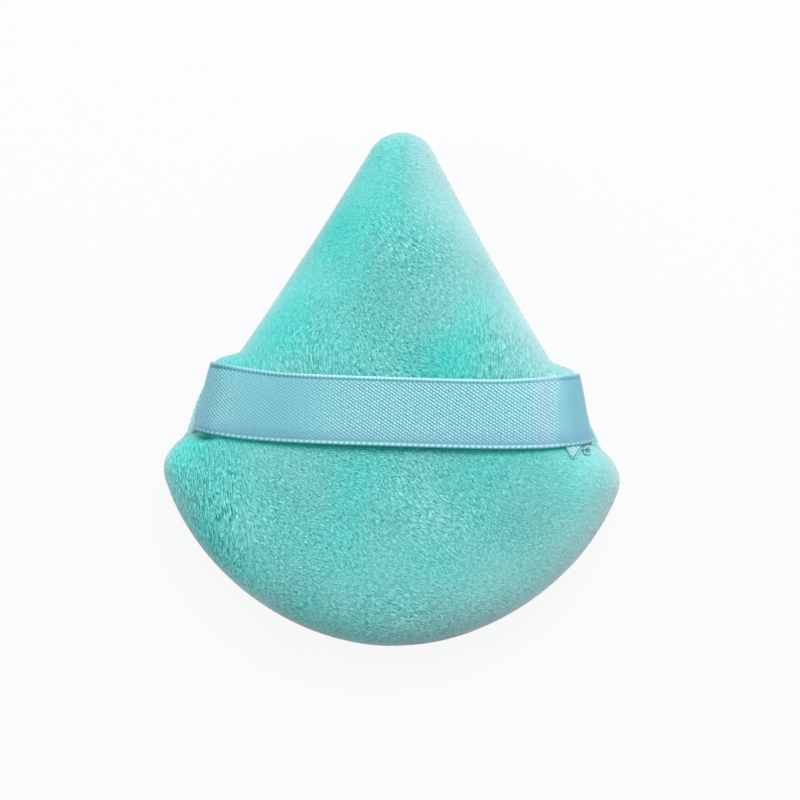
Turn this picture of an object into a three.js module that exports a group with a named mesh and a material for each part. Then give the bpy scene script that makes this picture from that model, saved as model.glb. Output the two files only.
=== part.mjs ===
// A powder puff lying on its back: a velour pad rounded off from a triangle, with a satin finger
// strap across its face. Millimetres, +Z out of the strap face, +Y towards the point, and the
// origin under the middle of the pad.
import * as THREE from "three";

// Pad outline
const padLength = 80;
const padWidth = 71.1;
const pointRadius = 5.6;
const cornerRadius = 4.8;
const cornerHeight = 26.6; // centre of each corner's round above the lowest point of the base
const flankDrawIn = 0.75; // how far the sides are drawn in between the point and the corners
const baseDrawIn = 0.3; // how far the base is drawn in between its middle and the corners

// Pad section
const padThickness = 15;
const seamHeight = 6.6;
const crownPower = 3; // a higher power makes a flatter crown with squarer shoulders
const undersideRun = 7.5; // distance from the edge at which the underside turns flat
const velourThickness = 1.8;
const seamAllowance = 4.5; // width of the turned-in edge of each panel
const seamPly = 1.1; // thickness of that turned-in edge
const foamClearance = 0.3;
const fitClearance = 0.15;

// Finger strap
const strapWidth = 10.7;
const strapThickness = 0.3;
const strapAboveRound = 3.3; // lower edge of the strap's end above the top of the corner's round
const strapBow = 1.3; // how far the middle of the strap hangs towards the base
const strapClearance = 0.3;
const strapSlack = 0.6; // extra height of the strap over the middle of the crown
const strapSplit = 0.4; // slit between the lifting span and each end
const shoulderRun = 5.5; // distance from the edge at which the lifting span begins
const earProud = 2.7; // how far the strap's upper corner pulls the side out
const earReach = 2.4; // length of the side that is pulled out above the strap
const seatDrawIn = 1.4; // how far the strap's lower corner pulls the side in
const bulgeFall = 25; // degrees by which the side falls as it swells out below the strap

// Sewing
const threadDiameter = 0.3;
const stitchLength = 3.2;
const stitchRise = 0.2; // height of a stitch's crest over its dips
const tackStitches = 6;
const closingLength = 24; // turning gap below the strap's right end
const closingPitch = 3;

// Facets of the curved surfaces
const pointSteps = 4;
const flankSteps = 7;
const earSteps = 4;
const seatSteps = 4;
const bulgeSteps = 4;
const cornerSteps = 4;
const baseSteps = 8;
const crownSteps = 8;
const undersideSteps = 4;
const strapAcross = 6;
const strapRise = 5;
const strapHalfSpan = 10;
const strapBend = 3;
const threadSides = 3; // half the number of sides of a thread

// Heights of the seam: the panels' turned-in edges face each other across the strap's thickness
const seamGap = strapThickness + 2 * fitClearance;
const seamTop = seamHeight + seamGap / 2;
const seamFoot = seamHeight - seamGap / 2;
const foldTop = seamTop + seamPly;
const foldFoot = seamFoot - seamPly;
const threadRoom = threadDiameter + stitchRise + 2 * fitClearance;

// Outline of the pad: a round at the point, two sides, a round at each corner and an arc as base
const pointY = padLength / 2 - pointRadius;
const cornerX = padWidth / 2 - cornerRadius;
const cornerY = cornerHeight - padLength / 2;
const baseRadius = (cornerX ** 2 + cornerHeight ** 2 - cornerRadius ** 2)
  / (2 * (cornerHeight - cornerRadius));
const baseY = baseRadius - padLength / 2;
const cornerDistance = Math.hypot(cornerX, pointY - cornerY);
const sideAngle = Math.acos((pointRadius - cornerRadius) / cornerDistance)
  - Math.atan2(pointY - cornerY, cornerX);
const baseAngle = Math.atan2(cornerY - baseY, cornerX);
const sideNormal = new THREE.Vector2(Math.cos(sideAngle), Math.sin(sideAngle));
const sideDirection = new THREE.Vector2(sideNormal.y, -sideNormal.x);
const sideHead = new THREE.Vector2(0, pointY).addScaledVector(sideNormal, pointRadius);
const sideFoot = new THREE.Vector2(cornerX, cornerY).addScaledVector(sideNormal, cornerRadius);

// A point on the drawn-in base, from the corner's round to the middle
function basePoint(share) {
  const angle = THREE.MathUtils.lerp(baseAngle, -Math.PI / 2, share);
  const radius = baseRadius - baseDrawIn * Math.sin(Math.PI * share) ** 2;
  return new THREE.Vector2(radius * Math.cos(angle), baseY + radius * Math.sin(angle));
}

// A point on the drawn-in side at a height y
function sidePoint(y) {
  const share = (sideHead.y - y) / (sideHead.y - sideFoot.y);
  const straight = THREE.MathUtils.lerp(sideHead.x, sideFoot.x, share);
  return new THREE.Vector2(straight - 4 * flankDrawIn * share * (1 - share), y);
}

// The strap's seat: the straight stretch of the seam that its end is sewn into
const seatFootY = sideFoot.y + strapAboveRound;
const seatHeadY = seatFootY + strapWidth;
const seatHead = sidePoint(seatHeadY).setX(sidePoint(seatHeadY).x + earProud);
const seatFoot = sidePoint(seatFootY).setX(sidePoint(seatFootY).x - seatDrawIn);
const seatDirection = seatFoot.clone().sub(seatHead).normalize();
const earRoot = sidePoint(seatHeadY + earReach);
const bulgeDirection = new THREE.Vector2(1, 0)
  .rotateAround(new THREE.Vector2(), -THREE.MathUtils.degToRad(bulgeFall));

function cubic(start, startDirection, end, endDirection) {
  const pull = start.distanceTo(end) / 3;
  const first = start.clone().addScaledVector(startDirection, pull);
  const second = end.clone().addScaledVector(endDirection, -pull);
  return new THREE.CubicBezierCurve(start, first, second, end);
}

// Points along a curve, without its last one
function stepsAlong(curve, steps) {
  return Array.from({ length: steps }, (_, i) => curve.getPoint(i / steps));
}

// Right half of the outline, from the point down to the middle of the base
function rightSide() {
  const point = new THREE.EllipseCurve(0, pointY, pointRadius, pointRadius, Math.PI / 2, sideAngle, true);
  const flank = Array.from({ length: flankSteps }, (_, i) =>
    sidePoint(THREE.MathUtils.lerp(sideHead.y, earRoot.y, i / flankSteps)));
  const ear = cubic(earRoot, sideDirection, seatHead, seatDirection);
  const seat = new THREE.LineCurve(seatHead, seatFoot);
  const bulge = cubic(seatFoot, bulgeDirection, sideFoot, sideDirection);
  const corner = new THREE.EllipseCurve(
    cornerX, cornerY, cornerRadius, cornerRadius, sideAngle, baseAngle, true);
  const base = Array.from({ length: baseSteps }, (_, i) => basePoint(i / baseSteps));
  return [
    ...stepsAlong(point, pointSteps),
    ...flank,
    ...stepsAlong(ear, earSteps),
    ...stepsAlong(seat, seatSteps),
    ...stepsAlong(bulge, bulgeSteps),
    ...stepsAlong(corner, cornerSteps),
    ...base,
    new THREE.Vector2(0, -padLength / 2),
  ];
}

// The whole outline, anticlockwise seen from above, starting at the middle of the base
function wholeOutline() {
  const right = rightSide().reverse();
  const left = right.slice(1, -1).reverse().map((p) => new THREE.Vector2(-p.x, p.y));
  return [...right, ...left];
}

const outline = wholeOutline();

// Smooth distance from the edge: the mean inverse square of the distance to the outline, taken
// over all directions from a point, as a length. Close to the edge it is the true distance.
function edgeDistance(x, y) {
  let sum = 0;
  outline.forEach((start, i) => {
    const end = outline[(i + 1) % outline.length];
    const length = start.distanceTo(end);
    const alongX = (end.x - start.x) / length;
    const alongY = (end.y - start.y) / length;
    const height = (start.x - x) * alongY - (start.y - y) * alongX;
    const from = Math.atan2((start.x - x) * alongX + (start.y - y) * alongY, height);
    const to = Math.atan2((end.x - x) * alongX + (end.y - y) * alongY, height);
    if (Math.abs(height) > 1e-9) {
      sum += ((to - from) / 2 + (Math.sin(2 * to) - Math.sin(2 * from)) / 4) / height ** 2;
    }
  });
  return Math.sqrt(Math.PI / 2 / sum);
}

// The value between low and high at which a rising function reaches a target
function solve(rising, target, low, high) {
  const halvings = 40;
  let [below, above] = [low, high];
  for (let i = 0; i < halvings; i += 1) {
    const middle = (below + above) / 2;
    if (rising(middle) < target) below = middle;
    else above = middle;
  }
  return (below + above) / 2;
}

// The point furthest from the edge, on the axis of symmetry, by narrowing in from both sides
function deepestY() {
  const narrowings = 60;
  let [low, high] = [-padLength / 2, padLength / 2];
  for (let i = 0; i < narrowings; i += 1) {
    const step = (high - low) / 3;
    if (edgeDistance(0, low + step) < edgeDistance(0, high - step)) low += step;
    else high -= step;
  }
  return (low + high) / 2;
}

const middle = new THREE.Vector2(0, deepestY());
const deepest = edgeDistance(middle.x, middle.y);

// The point at a distance from the edge, on the way from an outline point to the middle
function inwards(edge, distance) {
  if (distance <= 0) return edge.clone();
  const at = (share) => edge.clone().lerp(middle, share);
  const share = solve((t) => edgeDistance(at(t).x, at(t).y), distance, 0, 1);
  return at(share);
}

// Section of the front cover as distance from the edge and height, moved inwards by a depth.
// The angle runs from 0 at the seam to a right angle at the crown.
function frontSection(angle, depth) {
  const power = 2 / crownPower;
  const rise = padThickness - seamTop;
  const distance = deepest * (1 - Math.cos(angle) ** power);
  const run = deepest * power * Math.cos(angle) ** (power - 1) * Math.sin(angle);
  const climb = rise * Math.cos(angle);
  const length = Math.hypot(run, climb);
  const height = seamTop + rise * Math.sin(angle);
  return [distance + depth * climb / length, height - depth * run / length];
}

// Section of the back cover, from the seam at angle 0 to the flat underside at a right angle
function backSection(angle, depth) {
  const run = undersideRun * Math.sin(angle);
  const drop = seamFoot * Math.cos(angle);
  const length = Math.hypot(run, drop);
  const distance = undersideRun * (1 - Math.cos(angle));
  const height = seamFoot * (1 - Math.sin(angle));
  return [distance + depth * drop / length, height + depth * run / length];
}

const quarterTurn = Math.PI / 2;
const nearCrown = 0.99 * quarterTurn; // just short of the crown, where the section is level

// Rings of a section from an angle up to its last step before the crown
function frontRings(depth, firstAngle) {
  return Array.from({ length: crownSteps }, (_, i) =>
    frontSection(THREE.MathUtils.lerp(firstAngle, quarterTurn, i / crownSteps), depth));
}

// Rings of a section from an angle to the edge of the flat underside
function backRings(depth, firstAngle) {
  return Array.from({ length: undersideSteps + 1 }, (_, i) =>
    backSection(THREE.MathUtils.lerp(firstAngle, quarterTurn, i / undersideSteps), depth));
}

// The angle at which a section, moved inwards by a depth, passes a height
function frontAngle(height, depth) {
  return solve((angle) => frontSection(angle, depth)[1], height, 0, nearCrown);
}

function backAngle(height, depth) {
  return solve((angle) => -backSection(angle, depth)[1], -height, 0, quarterTurn);
}

function closedGeometry(positions, triangles) {
  const geometry = new THREE.BufferGeometry();
  geometry.setAttribute("position", new THREE.Float32BufferAttribute(positions, 3));
  geometry.setIndex(triangles);
  geometry.computeVertexNormals();
  return geometry;
}

// A body whose section runs round the outline, from a pole on its upper side to one below
function loftRound(section, upperPole, lowerPole) {
  const count = outline.length;
  const positions = [middle.x, middle.y, upperPole];
  section.forEach(([distance, height]) => {
    outline.forEach((edge) => {
      const point = inwards(edge, distance);
      positions.push(point.x, point.y, height);
    });
  });
  positions.push(middle.x, middle.y, lowerPole);
  const vertex = (ring, i) => 1 + ring * count + i % count;
  const lastVertex = 1 + section.length * count;
  const triangles = [];
  for (let i = 0; i < count; i += 1) {
    triangles.push(0, vertex(0, i), vertex(0, i + 1));
    for (let ring = 0; ring + 1 < section.length; ring += 1) {
      triangles.push(vertex(ring, i), vertex(ring + 1, i), vertex(ring + 1, i + 1));
      triangles.push(vertex(ring, i), vertex(ring + 1, i + 1), vertex(ring, i + 1));
    }
    triangles.push(vertex(section.length - 1, i), lastVertex, vertex(section.length - 1, i + 1));
  }
  return closedGeometry(positions, triangles);
}

// Front panel: a crowned velour shell whose edge turns in to the seam
function frontPanel() {
  const insideStart = frontAngle(foldTop, velourThickness);
  const section = [
    ...frontRings(0, 0).reverse(),
    [seamAllowance, seamTop],
    [seamAllowance, foldTop],
    ...frontRings(velourThickness, insideStart),
  ];
  return loftRound(section, padThickness, padThickness - velourThickness);
}

// Back panel: a shallow velour tray, flat underneath, whose edge turns in to the seam
function backPanel() {
  const insideStart = backAngle(foldFoot, velourThickness);
  const section = [
    ...backRings(velourThickness, insideStart).reverse(),
    [seamAllowance, foldFoot],
    [seamAllowance, seamFoot],
    ...backRings(0, 0),
  ];
  return loftRound(section, velourThickness, 0);
}

// Foam core: fills the cover, with a groove round it for the turned-in edges and their stitches
function foamCore() {
  const depth = velourThickness + foamClearance;
  const grooveTop = foldTop + threadRoom;
  const grooveFoot = foldFoot - threadRoom;
  const grooveEnd = seamAllowance + foamClearance;
  const section = [
    ...frontRings(depth, frontAngle(grooveTop, depth)).reverse(),
    [grooveEnd, grooveTop],
    [grooveEnd, grooveFoot],
    ...backRings(depth, backAngle(grooveFoot, depth)),
  ];
  return loftRound(section, padThickness - depth, depth);
}

// Direction in which the edge is nearest, seen from a point of the pad
function towardsEdge(x, y) {
  const step = 0.05;
  return new THREE.Vector3(
    edgeDistance(x - step, y) - edgeDistance(x + step, y),
    edgeDistance(x, y - step) - edgeDistance(x, y + step),
    0,
  ).normalize();
}

// Height of the crown over a point of the pad
function crownHeight(x, y) {
  const share = Math.min(1, edgeDistance(x, y) / deepest);
  return seamTop + (padThickness - seamTop) * Math.sqrt(1 - (1 - share) ** crownPower);
}

const strapOffset = strapClearance + strapThickness / 2;

// One lengthwise line of the strap's middle surface, from its right end in the seam to its
// middle; across runs from 0 at the lower edge to 1 at the upper edge
function strapLine(across) {
  const seat = seatFoot.clone().lerp(seatHead, across);
  const inset = (distance) =>
    solve((t) => edgeDistance(seat.x - t, seat.y), distance, 0, seat.x);
  const line = [
    new THREE.Vector3(seat.x - inset(seamAllowance), seat.y, seamHeight),
    new THREE.Vector3(seat.x - inset(velourThickness), seat.y, seamHeight),
  ];
  for (let i = 0; i <= strapBend; i += 1) {
    const turn = quarterTurn * i / strapBend;
    const out = strapOffset * Math.sin(turn);
    const up = strapOffset * (1 - Math.cos(turn));
    line.push(new THREE.Vector3(seat.x + out, seat.y, seamHeight + up));
  }
  const shoulder = solve((angle) => frontSection(angle, 0)[0], shoulderRun, 0, quarterTurn);
  for (let i = 1; i <= strapRise; i += 1) {
    const angle = shoulder * i / strapRise;
    const distance = frontSection(angle, 0)[0];
    const [nearer, height] = frontSection(angle, -strapOffset);
    const surface = new THREE.Vector3(seat.x - inset(distance), seat.y, height);
    line.push(surface.addScaledVector(towardsEdge(surface.x, surface.y), distance - nearer));
  }
  const start = line.at(-1);
  for (let i = 1; i <= strapHalfSpan; i += 1) {
    const share = i / strapHalfSpan;
    const x = start.x * (1 - share);
    const lean = 1 - (x / start.x) ** 2;
    const y = seat.y - strapBow * lean;
    line.push(new THREE.Vector3(x, y, crownHeight(x, y) + strapOffset + strapSlack * lean));
  }
  return line;
}

const strapLines = Array.from({ length: strapAcross + 1 }, (_, i) => strapLine(i / strapAcross));
const shoulderIndex = 2 + strapBend + strapRise;

const mirrored = (point) => new THREE.Vector3(-point.x, point.y, point.z);

// A strip of even thickness on a grid of points: rows run along the strip, and each row holds
// the points across it
function stripSolid(rows, thickness) {
  const length = rows.length;
  const width = rows[0].length;
  const positions = [];
  [1, -1].forEach((side) => {
    rows.forEach((row, i) => {
      row.forEach((point, j) => {
        const along = rows[Math.min(i + 1, length - 1)][j].clone().sub(rows[Math.max(i - 1, 0)][j]);
        const over = row[Math.min(j + 1, width - 1)].clone().sub(row[Math.max(j - 1, 0)]);
        const normal = along.cross(over).normalize();
        const moved = point.clone().addScaledVector(normal, side * thickness / 2);
        positions.push(moved.x, moved.y, moved.z);
      });
    });
  });
  const vertex = (face, i, j) => face * length * width + i * width + j;
  const triangles = [];
  const quad = (a, b, c, d) => triangles.push(a, b, c, a, c, d);
  for (let i = 0; i + 1 < length; i += 1) {
    for (let j = 0; j + 1 < width; j += 1) {
      quad(vertex(0, i, j), vertex(0, i + 1, j), vertex(0, i + 1, j + 1), vertex(0, i, j + 1));
      quad(vertex(1, i, j), vertex(1, i, j + 1), vertex(1, i + 1, j + 1), vertex(1, i + 1, j));
    }
    quad(vertex(0, i, 0), vertex(1, i, 0), vertex(1, i + 1, 0), vertex(0, i + 1, 0));
    quad(vertex(0, i, width - 1), vertex(0, i + 1, width - 1),
      vertex(1, i + 1, width - 1), vertex(1, i, width - 1));
  }
  for (let j = 0; j + 1 < width; j += 1) {
    quad(vertex(0, 0, j), vertex(0, 0, j + 1), vertex(1, 0, j + 1), vertex(1, 0, j));
    quad(vertex(0, length - 1, j), vertex(1, length - 1, j),
      vertex(1, length - 1, j + 1), vertex(0, length - 1, j + 1));
  }
  return closedGeometry(positions, triangles);
}

// Rows across the strap from one index of its lines to another
function strapRows(first, last) {
  return Array.from({ length: last - first + 1 }, (_, i) => strapLines.map((line) => line[first + i]));
}

// The span that lifts: both halves, cut back at the shoulders by the slit to each end
function strapSpan() {
  const half = strapRows(shoulderIndex + 1, shoulderIndex + strapHalfSpan - 1);
  const cut = strapLines.map((line) => {
    const shoulder = line[shoulderIndex];
    const next = line[shoulderIndex + 1];
    return shoulder.clone().lerp(next, strapSplit / shoulder.distanceTo(next));
  });
  const right = [cut, ...half];
  const left = right.map((row) => row.map(mirrored));
  const centre = strapLines.map((line) => line.at(-1));
  return stripSolid([...left, centre, ...right.reverse()], strapThickness);
}

// The strap's right end: over the shoulder, down the side and into the seam
function strapRightEnd() {
  return stripSolid(strapRows(0, shoulderIndex).reverse(), strapThickness);
}

// The same body on the other side of the pad, with its faces turned to point out again
function mirroredGeometry(geometry) {
  const mirror = geometry.clone().scale(-1, 1, 1);
  return mirror.setIndex(Array.from(mirror.index.array).reverse());
}

// Distances along the outline, anticlockwise from the middle of the base
const outlineLengths = outline.reduce((lengths, point, i) => {
  const next = outline[(i + 1) % outline.length];
  lengths.push(lengths[i] + point.distanceTo(next));
  return lengths;
}, [0]);
const perimeter = outlineLengths.at(-1);

// The point at a distance along the outline and a distance in from it, at a height
function seamPoint(along, distance, height) {
  const wrapped = THREE.MathUtils.euclideanModulo(along, perimeter);
  const i = outlineLengths.findLastIndex((length) => length <= wrapped);
  const next = outline[(i + 1) % outline.length];
  const share = (wrapped - outlineLengths[i]) / (outlineLengths[i + 1] - outlineLengths[i]);
  const point = inwards(outline[i].clone().lerp(next, share), distance);
  return new THREE.Vector3(point.x, point.y, height);
}

// How far along the outline one of its points lies
function alongAt(point) {
  return outlineLengths[outline.findIndex((p) => p.distanceTo(point) < 1e-6)];
}

const seatFootAlong = alongAt(seatFoot);
const seatHeadAlong = alongAt(seatHead);
const closingHead = seatFootAlong - threadDiameter - strapClearance;
const closingFoot = closingHead - closingLength;
const frontWall = frontSection(frontAngle(foldTop + threadRoom, velourThickness), velourThickness)[0];
const backWall = backSection(backAngle(foldFoot - threadRoom, velourThickness), velourThickness)[0];
const stitchLine = Math.max(frontWall, backWall) + fitClearance + threadDiameter / 2;

// A thread through a list of points
function threadSolid(points) {
  const section = new THREE.Shape().absarc(0, 0, threadDiameter / 2, 0, 2 * Math.PI, false);
  return new THREE.ExtrudeGeometry(section, {
    steps: points.length - 1,
    curveSegments: threadSides,
    bevelEnabled: false,
    extrudePath: new THREE.CatmullRomCurve3(points),
  });
}

// One thread of the seam's lockstitch: it rises and dips along the stitch line, from one end of
// the turning gap all the way round to the other
function seamThread(surface, outward) {
  const run = perimeter - closingLength;
  const halfStitches = 2 * Math.round(run / stitchLength);
  const clear = fitClearance + threadDiameter / 2;
  const points = Array.from({ length: halfStitches + 1 }, (_, i) => {
    const lift = clear + (i % 2) * stitchRise;
    return seamPoint(closingHead + run * i / halfStitches, stitchLine, surface + outward * lift);
  });
  return threadSolid(points);
}

// Bar tack over a strap end: a zigzag between the stitch line and the cut edge of the seam
function tackPoints() {
  const near = stitchLine + threadDiameter + 2 * fitClearance;
  const far = seamAllowance - threadDiameter;
  const height = foldTop + fitClearance + threadDiameter / 2;
  const inset = threadDiameter;
  return Array.from({ length: 2 * tackStitches + 1 }, (_, i) => {
    const share = i / (2 * tackStitches);
    const along = THREE.MathUtils.lerp(seatFootAlong + inset, seatHeadAlong - inset, share);
    return seamPoint(along, i % 2 ? far : near, height);
  });
}

// Slip stitch that closes the turning gap, from panel edge to panel edge inside the seam
function closingPoints() {
  const near = threadDiameter;
  const far = velourThickness;
  const turns = 2 * Math.round(closingLength / closingPitch);
  return Array.from({ length: turns + 1 }, (_, i) =>
    seamPoint(closingHead - closingLength * i / turns, i % 2 ? far : near, seamHeight));
}

// Materials
const cloth = (color, roughness) => new THREE.MeshStandardMaterial({ color, roughness, metalness: 0 });
const velourColor = 0x6bc6c3;
const satinColor = 0x8cccd4;
const foamColor = 0xf3f1ea;
const threadColor = 0x62bab7;

const puff = new THREE.Group();

function addPiece(name, geometry, material) {
  const mesh = new THREE.Mesh(geometry, material);
  mesh.name = name;
  puff.add(mesh);
}

addPiece("front_panel", frontPanel(), cloth(velourColor, 0.95));
addPiece("back_panel", backPanel(), cloth(velourColor, 0.95));
addPiece("foam_core", foamCore(), cloth(foamColor, 0.9));
addPiece("strap_span", strapSpan(), cloth(satinColor, 0.4));
addPiece("strap_left_end", mirroredGeometry(strapRightEnd()), cloth(satinColor, 0.4));
addPiece("strap_right_end", strapRightEnd(), cloth(satinColor, 0.4));
addPiece("needle_thread", seamThread(foldTop, 1), cloth(threadColor, 0.6));
addPiece("bobbin_thread", seamThread(foldFoot, -1), cloth(threadColor, 0.6));
addPiece("left_strap_tack", threadSolid(tackPoints().map(mirrored)), cloth(threadColor, 0.6));
addPiece("right_strap_tack", threadSolid(tackPoints()), cloth(threadColor, 0.6));
addPiece("closing_thread", threadSolid(closingPoints()), cloth(threadColor, 0.6));

export default puff;
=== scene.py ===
"""Looks of a powder puff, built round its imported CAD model.

The puff is a velour pad rounded off from a triangle, with a satin finger strap across its face.
It lies on its back with +Z out of the strap face and +Y towards the point. Sizes here are in
millimetres, and meshes are made in metres.
"""

import logging
import math
from dataclasses import dataclass, field
from enum import Enum

import bpy
import numpy as np
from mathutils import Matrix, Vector


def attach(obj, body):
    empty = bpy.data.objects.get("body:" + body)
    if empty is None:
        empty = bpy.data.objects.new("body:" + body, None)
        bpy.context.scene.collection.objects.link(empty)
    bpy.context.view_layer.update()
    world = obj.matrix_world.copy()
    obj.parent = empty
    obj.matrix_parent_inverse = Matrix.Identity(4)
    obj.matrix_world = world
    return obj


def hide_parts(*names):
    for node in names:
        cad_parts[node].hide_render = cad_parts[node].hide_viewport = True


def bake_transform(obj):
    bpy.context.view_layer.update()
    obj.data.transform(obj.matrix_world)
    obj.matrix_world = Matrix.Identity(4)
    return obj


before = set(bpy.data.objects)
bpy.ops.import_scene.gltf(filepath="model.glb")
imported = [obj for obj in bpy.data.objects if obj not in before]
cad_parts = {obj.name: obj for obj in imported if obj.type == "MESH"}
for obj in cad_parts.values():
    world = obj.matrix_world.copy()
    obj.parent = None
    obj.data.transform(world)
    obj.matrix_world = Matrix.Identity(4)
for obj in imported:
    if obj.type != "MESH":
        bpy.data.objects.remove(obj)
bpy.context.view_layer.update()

MM = 0.001
LOG = logging.getLogger("powder_puff")
Array = np.ndarray
Colour = tuple[float, float, float]
Way = tuple[float, float, float]
Span = tuple[float, float]
Point = tuple[float, float]
Place = tuple[float, float, float]
Spot = tuple[float, float, float, float]
Material = bpy.types.Material
Piece = bpy.types.Object
Node = bpy.types.Node
Socket = bpy.types.NodeSocket

# The outline starts at the base, a quarter of a turn before the right side
QUARTER_TURN = 0.25
# Turns a place on the right into its image on the left
MIRROR = np.array([-1.0, 1.0, 1.0])
# Places on a straight or bent stretch, and on an arc
SIDE_STEPS = 60
ARC_STEPS = 120
# Smaller lengths and sums are taken as these, so that nothing is divided by zero
TOUCHING = 1e-6
ALMOST_NONE = 1e-9
WHITE = (1.0, 1.0, 1.0, 1.0)
# Mean of Blender's noise, and the middle of a colour ramp
MEAN_NOISE = 0.5
MIDDLE_TONE = 0.5
# Numbers of the sockets on Blender's mix node, where names repeat
MIX_SHARE = 0
MIX_NUMBERS = (2, 3)
MIX_COLOURS = (6, 7)
MIX_COLOUR_OUT = 2


class Side(Enum):
    """The two faces of the pad."""

    FRONT = "front"
    BACK = "back"

    @property
    def up(self) -> float:
        """Give 1 for the face that looks up and -1 for the one that looks down."""
        return 1.0 if self is Side.FRONT else -1.0


# Where the random pile of each face starts
PILE_SEEDS = {Side.FRONT: 11, Side.BACK: 23}


class Stroke(Enum):
    """How the pile is brushed: degrees anticlockwise from +X, then a stroke's width and length."""

    DOWN = (92.0, 0.23, 0.88)
    SLANT = (139.0, 0.2, 0.56)
    LEVEL = (172.0, 0.2, 0.66)


def linear(red: int, green: int, blue: int) -> Colour:
    """Turn a display colour of 0 to 255 into the linear one that shaders take, by the sRGB curve."""
    parts = (value / 255 for value in (red, green, blue))
    return tuple(v / 12.92 if v <= 0.04045 else ((v + 0.055) / 1.055) ** 2.4 for v in parts)


def smooth_step(span: Span, value: Array, line: float | Array = 0.0) -> Array:
    """Rise smoothly from 0 to 1 over a span of values, which may run downwards.

    Args:
        span: where the rise starts and where it ends, counted from the line.
        value: values to read the rise at.
        line: value from which the span is counted.

    Returns:
        A share for each value.
    """
    low, high = line + span[0], line + span[1]
    share = np.clip((value - low) / (high - low), 0.0, 1.0)
    return share * share * (3.0 - 2.0 * share)


@dataclass(frozen=True)
class Fade:
    """An amount that comes in smoothly from one place to another."""

    amount: float
    start: float
    end: float

    def at(self, value: Array) -> Array:
        """Give how much of the amount there is at each value."""
        return self.amount * smooth_step((self.start, self.end), value)


def between(first: Array, second: Array, share: Array) -> Array:
    """Go a share of the way from the first values to the second."""
    return first * (1 - share) + second * share


def squeezed(values: Array) -> Array:
    """Squeeze values of any size into 0 to 1."""
    return 0.5 + 0.5 * np.tanh(values)


def even_beads(along: Array, pitch: float) -> Array:
    """Give 1 on evenly spaced beads and 0 halfway between them."""
    return 0.5 + 0.5 * np.cos(2 * np.pi * along / pitch)


def ridge(values: Array, at: float, spread: float) -> Array:
    """Give 1 at one value, falling to 0 on both sides of it."""
    return np.exp(-(((values - at) / spread) ** 2))


def unit(vectors: Array) -> Array:
    """Scale vectors to a length of 1."""
    return vectors / np.linalg.norm(vectors, axis=-1, keepdims=True)


def step_lengths(line: Array) -> Array:
    """Measure the steps between the places of a line."""
    return np.linalg.norm(np.diff(line, axis=0), axis=1)


def run_along(line: Array) -> Array:
    """Measure how far along a line each of its places is."""
    return np.concatenate([[0.0], np.cumsum(step_lengths(line))])


def respaced(line: Array, count: int) -> Array:
    """Space a number of places evenly along a line."""
    along = run_along(line)
    return np.stack([np.interp(np.linspace(0.0, along[-1], count), along, part) for part in line.T], -1)


def grid_quads(number: Array) -> Array:
    """Join a grid of vertex numbers into quads, anticlockwise where across lies left of along."""
    corners = (number[:-1, :-1], number[1:, :-1], number[1:, 1:], number[:-1, 1:])
    return np.stack(corners, -1).reshape(-1, 4)


def tube_mesh(rings: Array) -> tuple[Array, list[Array]]:
    """Join rings of places into a tube with both ends closed.

    Args:
        rings: (rings, sides, 3) places, each ring anticlockwise as seen from the last ring.

    Returns:
        The places, with the middles of both ends as the last two, and the faces.
    """
    count, sides = rings.shape[:2]
    number = np.arange(count * sides).reshape(count, sides)
    after = np.roll(number, -1, axis=1)
    quads = np.stack([number[:-1], after[:-1], after[1:], number[1:]], -1).reshape(-1, 4)
    first, last = count * sides, count * sides + 1
    ends = np.concatenate([
        np.column_stack([after[0], number[0], np.full(sides, first)]),
        np.column_stack([number[-1], after[-1], np.full(sides, last)])])
    places = np.concatenate([rings.reshape(-1, 3), rings[[0, -1]].mean(axis=1)])
    return places, [quads, ends]


def mesh_piece(name: str, places: Array, faces: list[Array]) -> Piece:
    """Make a smooth mesh object and link it to the scene.

    Args:
        name: name of the piece.
        places: (n, 3) vertex places in millimetres.
        faces: arrays of vertex numbers, one array for each number of corners.

    Returns:
        The new object.
    """
    mesh = bpy.data.meshes.new(name)
    corners = np.concatenate([part.ravel() for part in faces])
    sizes = np.concatenate([np.full(len(part), part.shape[1]) for part in faces])
    starts = np.concatenate([[0], np.cumsum(sizes)[:-1]])
    mesh.vertices.add(len(places))
    mesh.vertices.foreach_set("co", (places * MM).astype(np.float32).ravel())
    mesh.loops.add(len(corners))
    mesh.loops.foreach_set("vertex_index", corners.astype(np.int32))
    mesh.polygons.add(len(sizes))
    mesh.polygons.foreach_set("loop_start", starts.astype(np.int32))
    mesh.update(calc_edges=True)
    mesh.validate()
    mesh.shade_smooth()
    piece = bpy.data.objects.new(name, mesh)
    bpy.context.scene.collection.objects.link(piece)
    return piece


def vertex_normals(piece: Piece) -> Array:
    """Read the vertex normals of a piece.

    Args:
        piece: the piece to read.

    Returns:
        (n, 3) normals.
    """
    normals = np.empty(len(piece.data.vertices) * 3, np.float32)
    piece.data.vertices.foreach_get("normal", normals)
    return normals.reshape(-1, 3).astype(float)


def move_vertices(piece: Piece, places: Array) -> None:
    """Put the vertices of a piece at new places in millimetres."""
    piece.data.vertices.foreach_set("co", (places * MM).astype(np.float32).ravel())
    piece.data.update()


def store(piece: Piece, name: str, values: Array) -> None:
    """Keep one number for each vertex under a name that materials read."""
    attribute = piece.data.attributes.new(name, "FLOAT", "POINT")
    attribute.data.foreach_set("value", values.astype(np.float32))


def store_places(piece: Piece, name: str, places: Array) -> None:
    """Keep one place for each vertex under a name that materials read."""
    attribute = piece.data.attributes.new(name, "FLOAT_VECTOR", "POINT")
    attribute.data.foreach_set("vector", places.astype(np.float32).ravel())


def store_map(piece: Piece, spots: Array) -> None:
    """Keep the flat map of a piece, one spot for each face corner."""
    layer = piece.data.uv_layers.new(name="OFBake")
    layer.data.foreach_set("uv", spots.astype(np.float32).ravel())


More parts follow.
